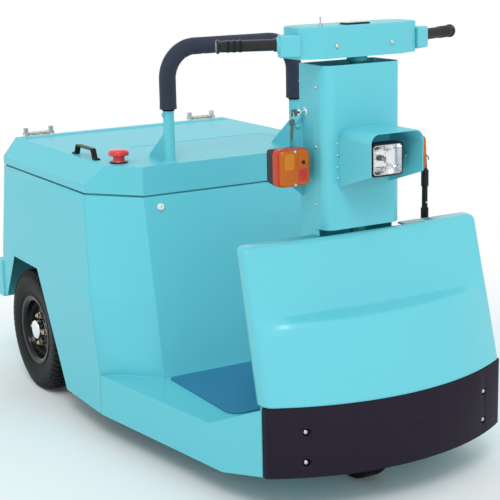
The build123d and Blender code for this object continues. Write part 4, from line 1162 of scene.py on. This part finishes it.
def make_floor():
    """Pale floor that keeps the shadow near the object and turns plain white further out."""
    mesh = bpy.data.meshes.new("floor")
    reach = FLOOR_REACH
    corners = [(-reach, -reach, 0), (reach, -reach, 0), (reach, reach, 0), (-reach, reach, 0)]
    mesh.from_pydata(corners, [], [(0, 1, 2, 3)])
    floor = bpy.data.objects.new("floor", mesh)
    scene.collection.objects.link(floor)
    made, principled, links, new = shader("floor")
    principled.inputs["Base Color"].default_value = (*FLOOR_COLOUR, 1)
    principled.inputs["Roughness"].default_value = 0.9
    place = new("ShaderNodeTexCoord")
    far = new("ShaderNodeVectorMath")
    far.operation = "LENGTH"
    links.new(place.outputs["Object"], far.inputs[0])
    ramp = new("ShaderNodeMapRange")
    ramp.inputs["From Min"].default_value = FLOOR_WHITE_FROM
    ramp.inputs["From Max"].default_value = FLOOR_WHITE_AT
    links.new(far.outputs["Value"], ramp.inputs["Value"])
    white = new("ShaderNodeEmission")
    white.inputs["Color"].default_value = WHITE
    white.inputs["Strength"].default_value = 1.0
    mixed = new("ShaderNodeMixShader")
    links.new(ramp.outputs["Result"], mixed.inputs["Fac"])
    links.new(principled.outputs["BSDF"], mixed.inputs[1])
    links.new(white.outputs["Emission"], mixed.inputs[2])
    links.new(mixed.outputs["Shader"], made.node_tree.nodes["Material Output"].inputs["Surface"])
    mesh.materials.append(made)


BRIGHT_SIDE = (-0.1, -0.93, 0.3)
BRIGHT_LEVEL = (1.0, 0.98, 0.98)
DIM_SIDE = (0.58, 0.76, 0.78)
GLOW_START = -0.2


def make_world():
    """White surroundings as seen and reflected; as light, brighter ahead of the machine than behind."""
    world = bpy.data.worlds.new("surroundings")
    world.use_nodes = True
    scene.world = world
    tree = world.node_tree
    new, links = tree.nodes.new, tree.links.new
    back = tree.nodes["Background"]
    place = new("ShaderNodeTexCoord")
    facing = new("ShaderNodeVectorMath")
    facing.operation = "DOT_PRODUCT"
    facing.inputs[1].default_value = Vector(BRIGHT_SIDE).normalized()
    links(place.outputs["Generated"], facing.inputs[0])
    glow = new("ShaderNodeMapRange")
    glow.interpolation_type = "SMOOTHSTEP"
    glow.inputs["From Min"].default_value = GLOW_START
    links(facing.outputs["Value"], glow.inputs["Value"])
    sky = new("ShaderNodeMix")
    sky.data_type = "RGBA"
    links(glow.outputs["Result"], sky.inputs["Factor"])
    sky.inputs["A"].default_value = (*DIM_SIDE, 1)
    sky.inputs["B"].default_value = (*BRIGHT_LEVEL, 1)
    rays = new("ShaderNodeLightPath")
    seen = rays.outputs["Is Camera Ray"]
    for kind in ("Is Glossy Ray", "Is Transmission Ray"):
        either = new("ShaderNodeMath")
        either.operation = "MAXIMUM"
        links(seen, either.inputs[0])
        links(rays.outputs[kind], either.inputs[1])
        seen = either.outputs["Value"]
    level = new("ShaderNodeMix")
    level.data_type = "RGBA"
    links(seen, level.inputs["Factor"])
    links(sky.outputs["Result"], level.inputs["A"])
    level.inputs["B"].default_value = WHITE
    links(level.outputs["Result"], back.inputs["Color"])


SUN_FROM = (-0.35, -0.55, 0.76)
SUN_STRENGTH = 0.9
SUN_ANGLE = 20


def make_sun():
    """Sun lamp with soft shadows, from ahead and above on the machine's right."""
    data = bpy.data.lights.new("key", "SUN")
    data.energy = SUN_STRENGTH
    data.angle = radians(SUN_ANGLE)
    lamp = bpy.data.objects.new("key", data)
    lamp.rotation_mode = "QUATERNION"
    lamp.rotation_quaternion = Vector(SUN_FROM).to_track_quat("Z", "Y")
    scene.collection.objects.link(lamp)


make_floor()
make_world()
make_sun()
scene.view_settings.view_transform = "Standard"
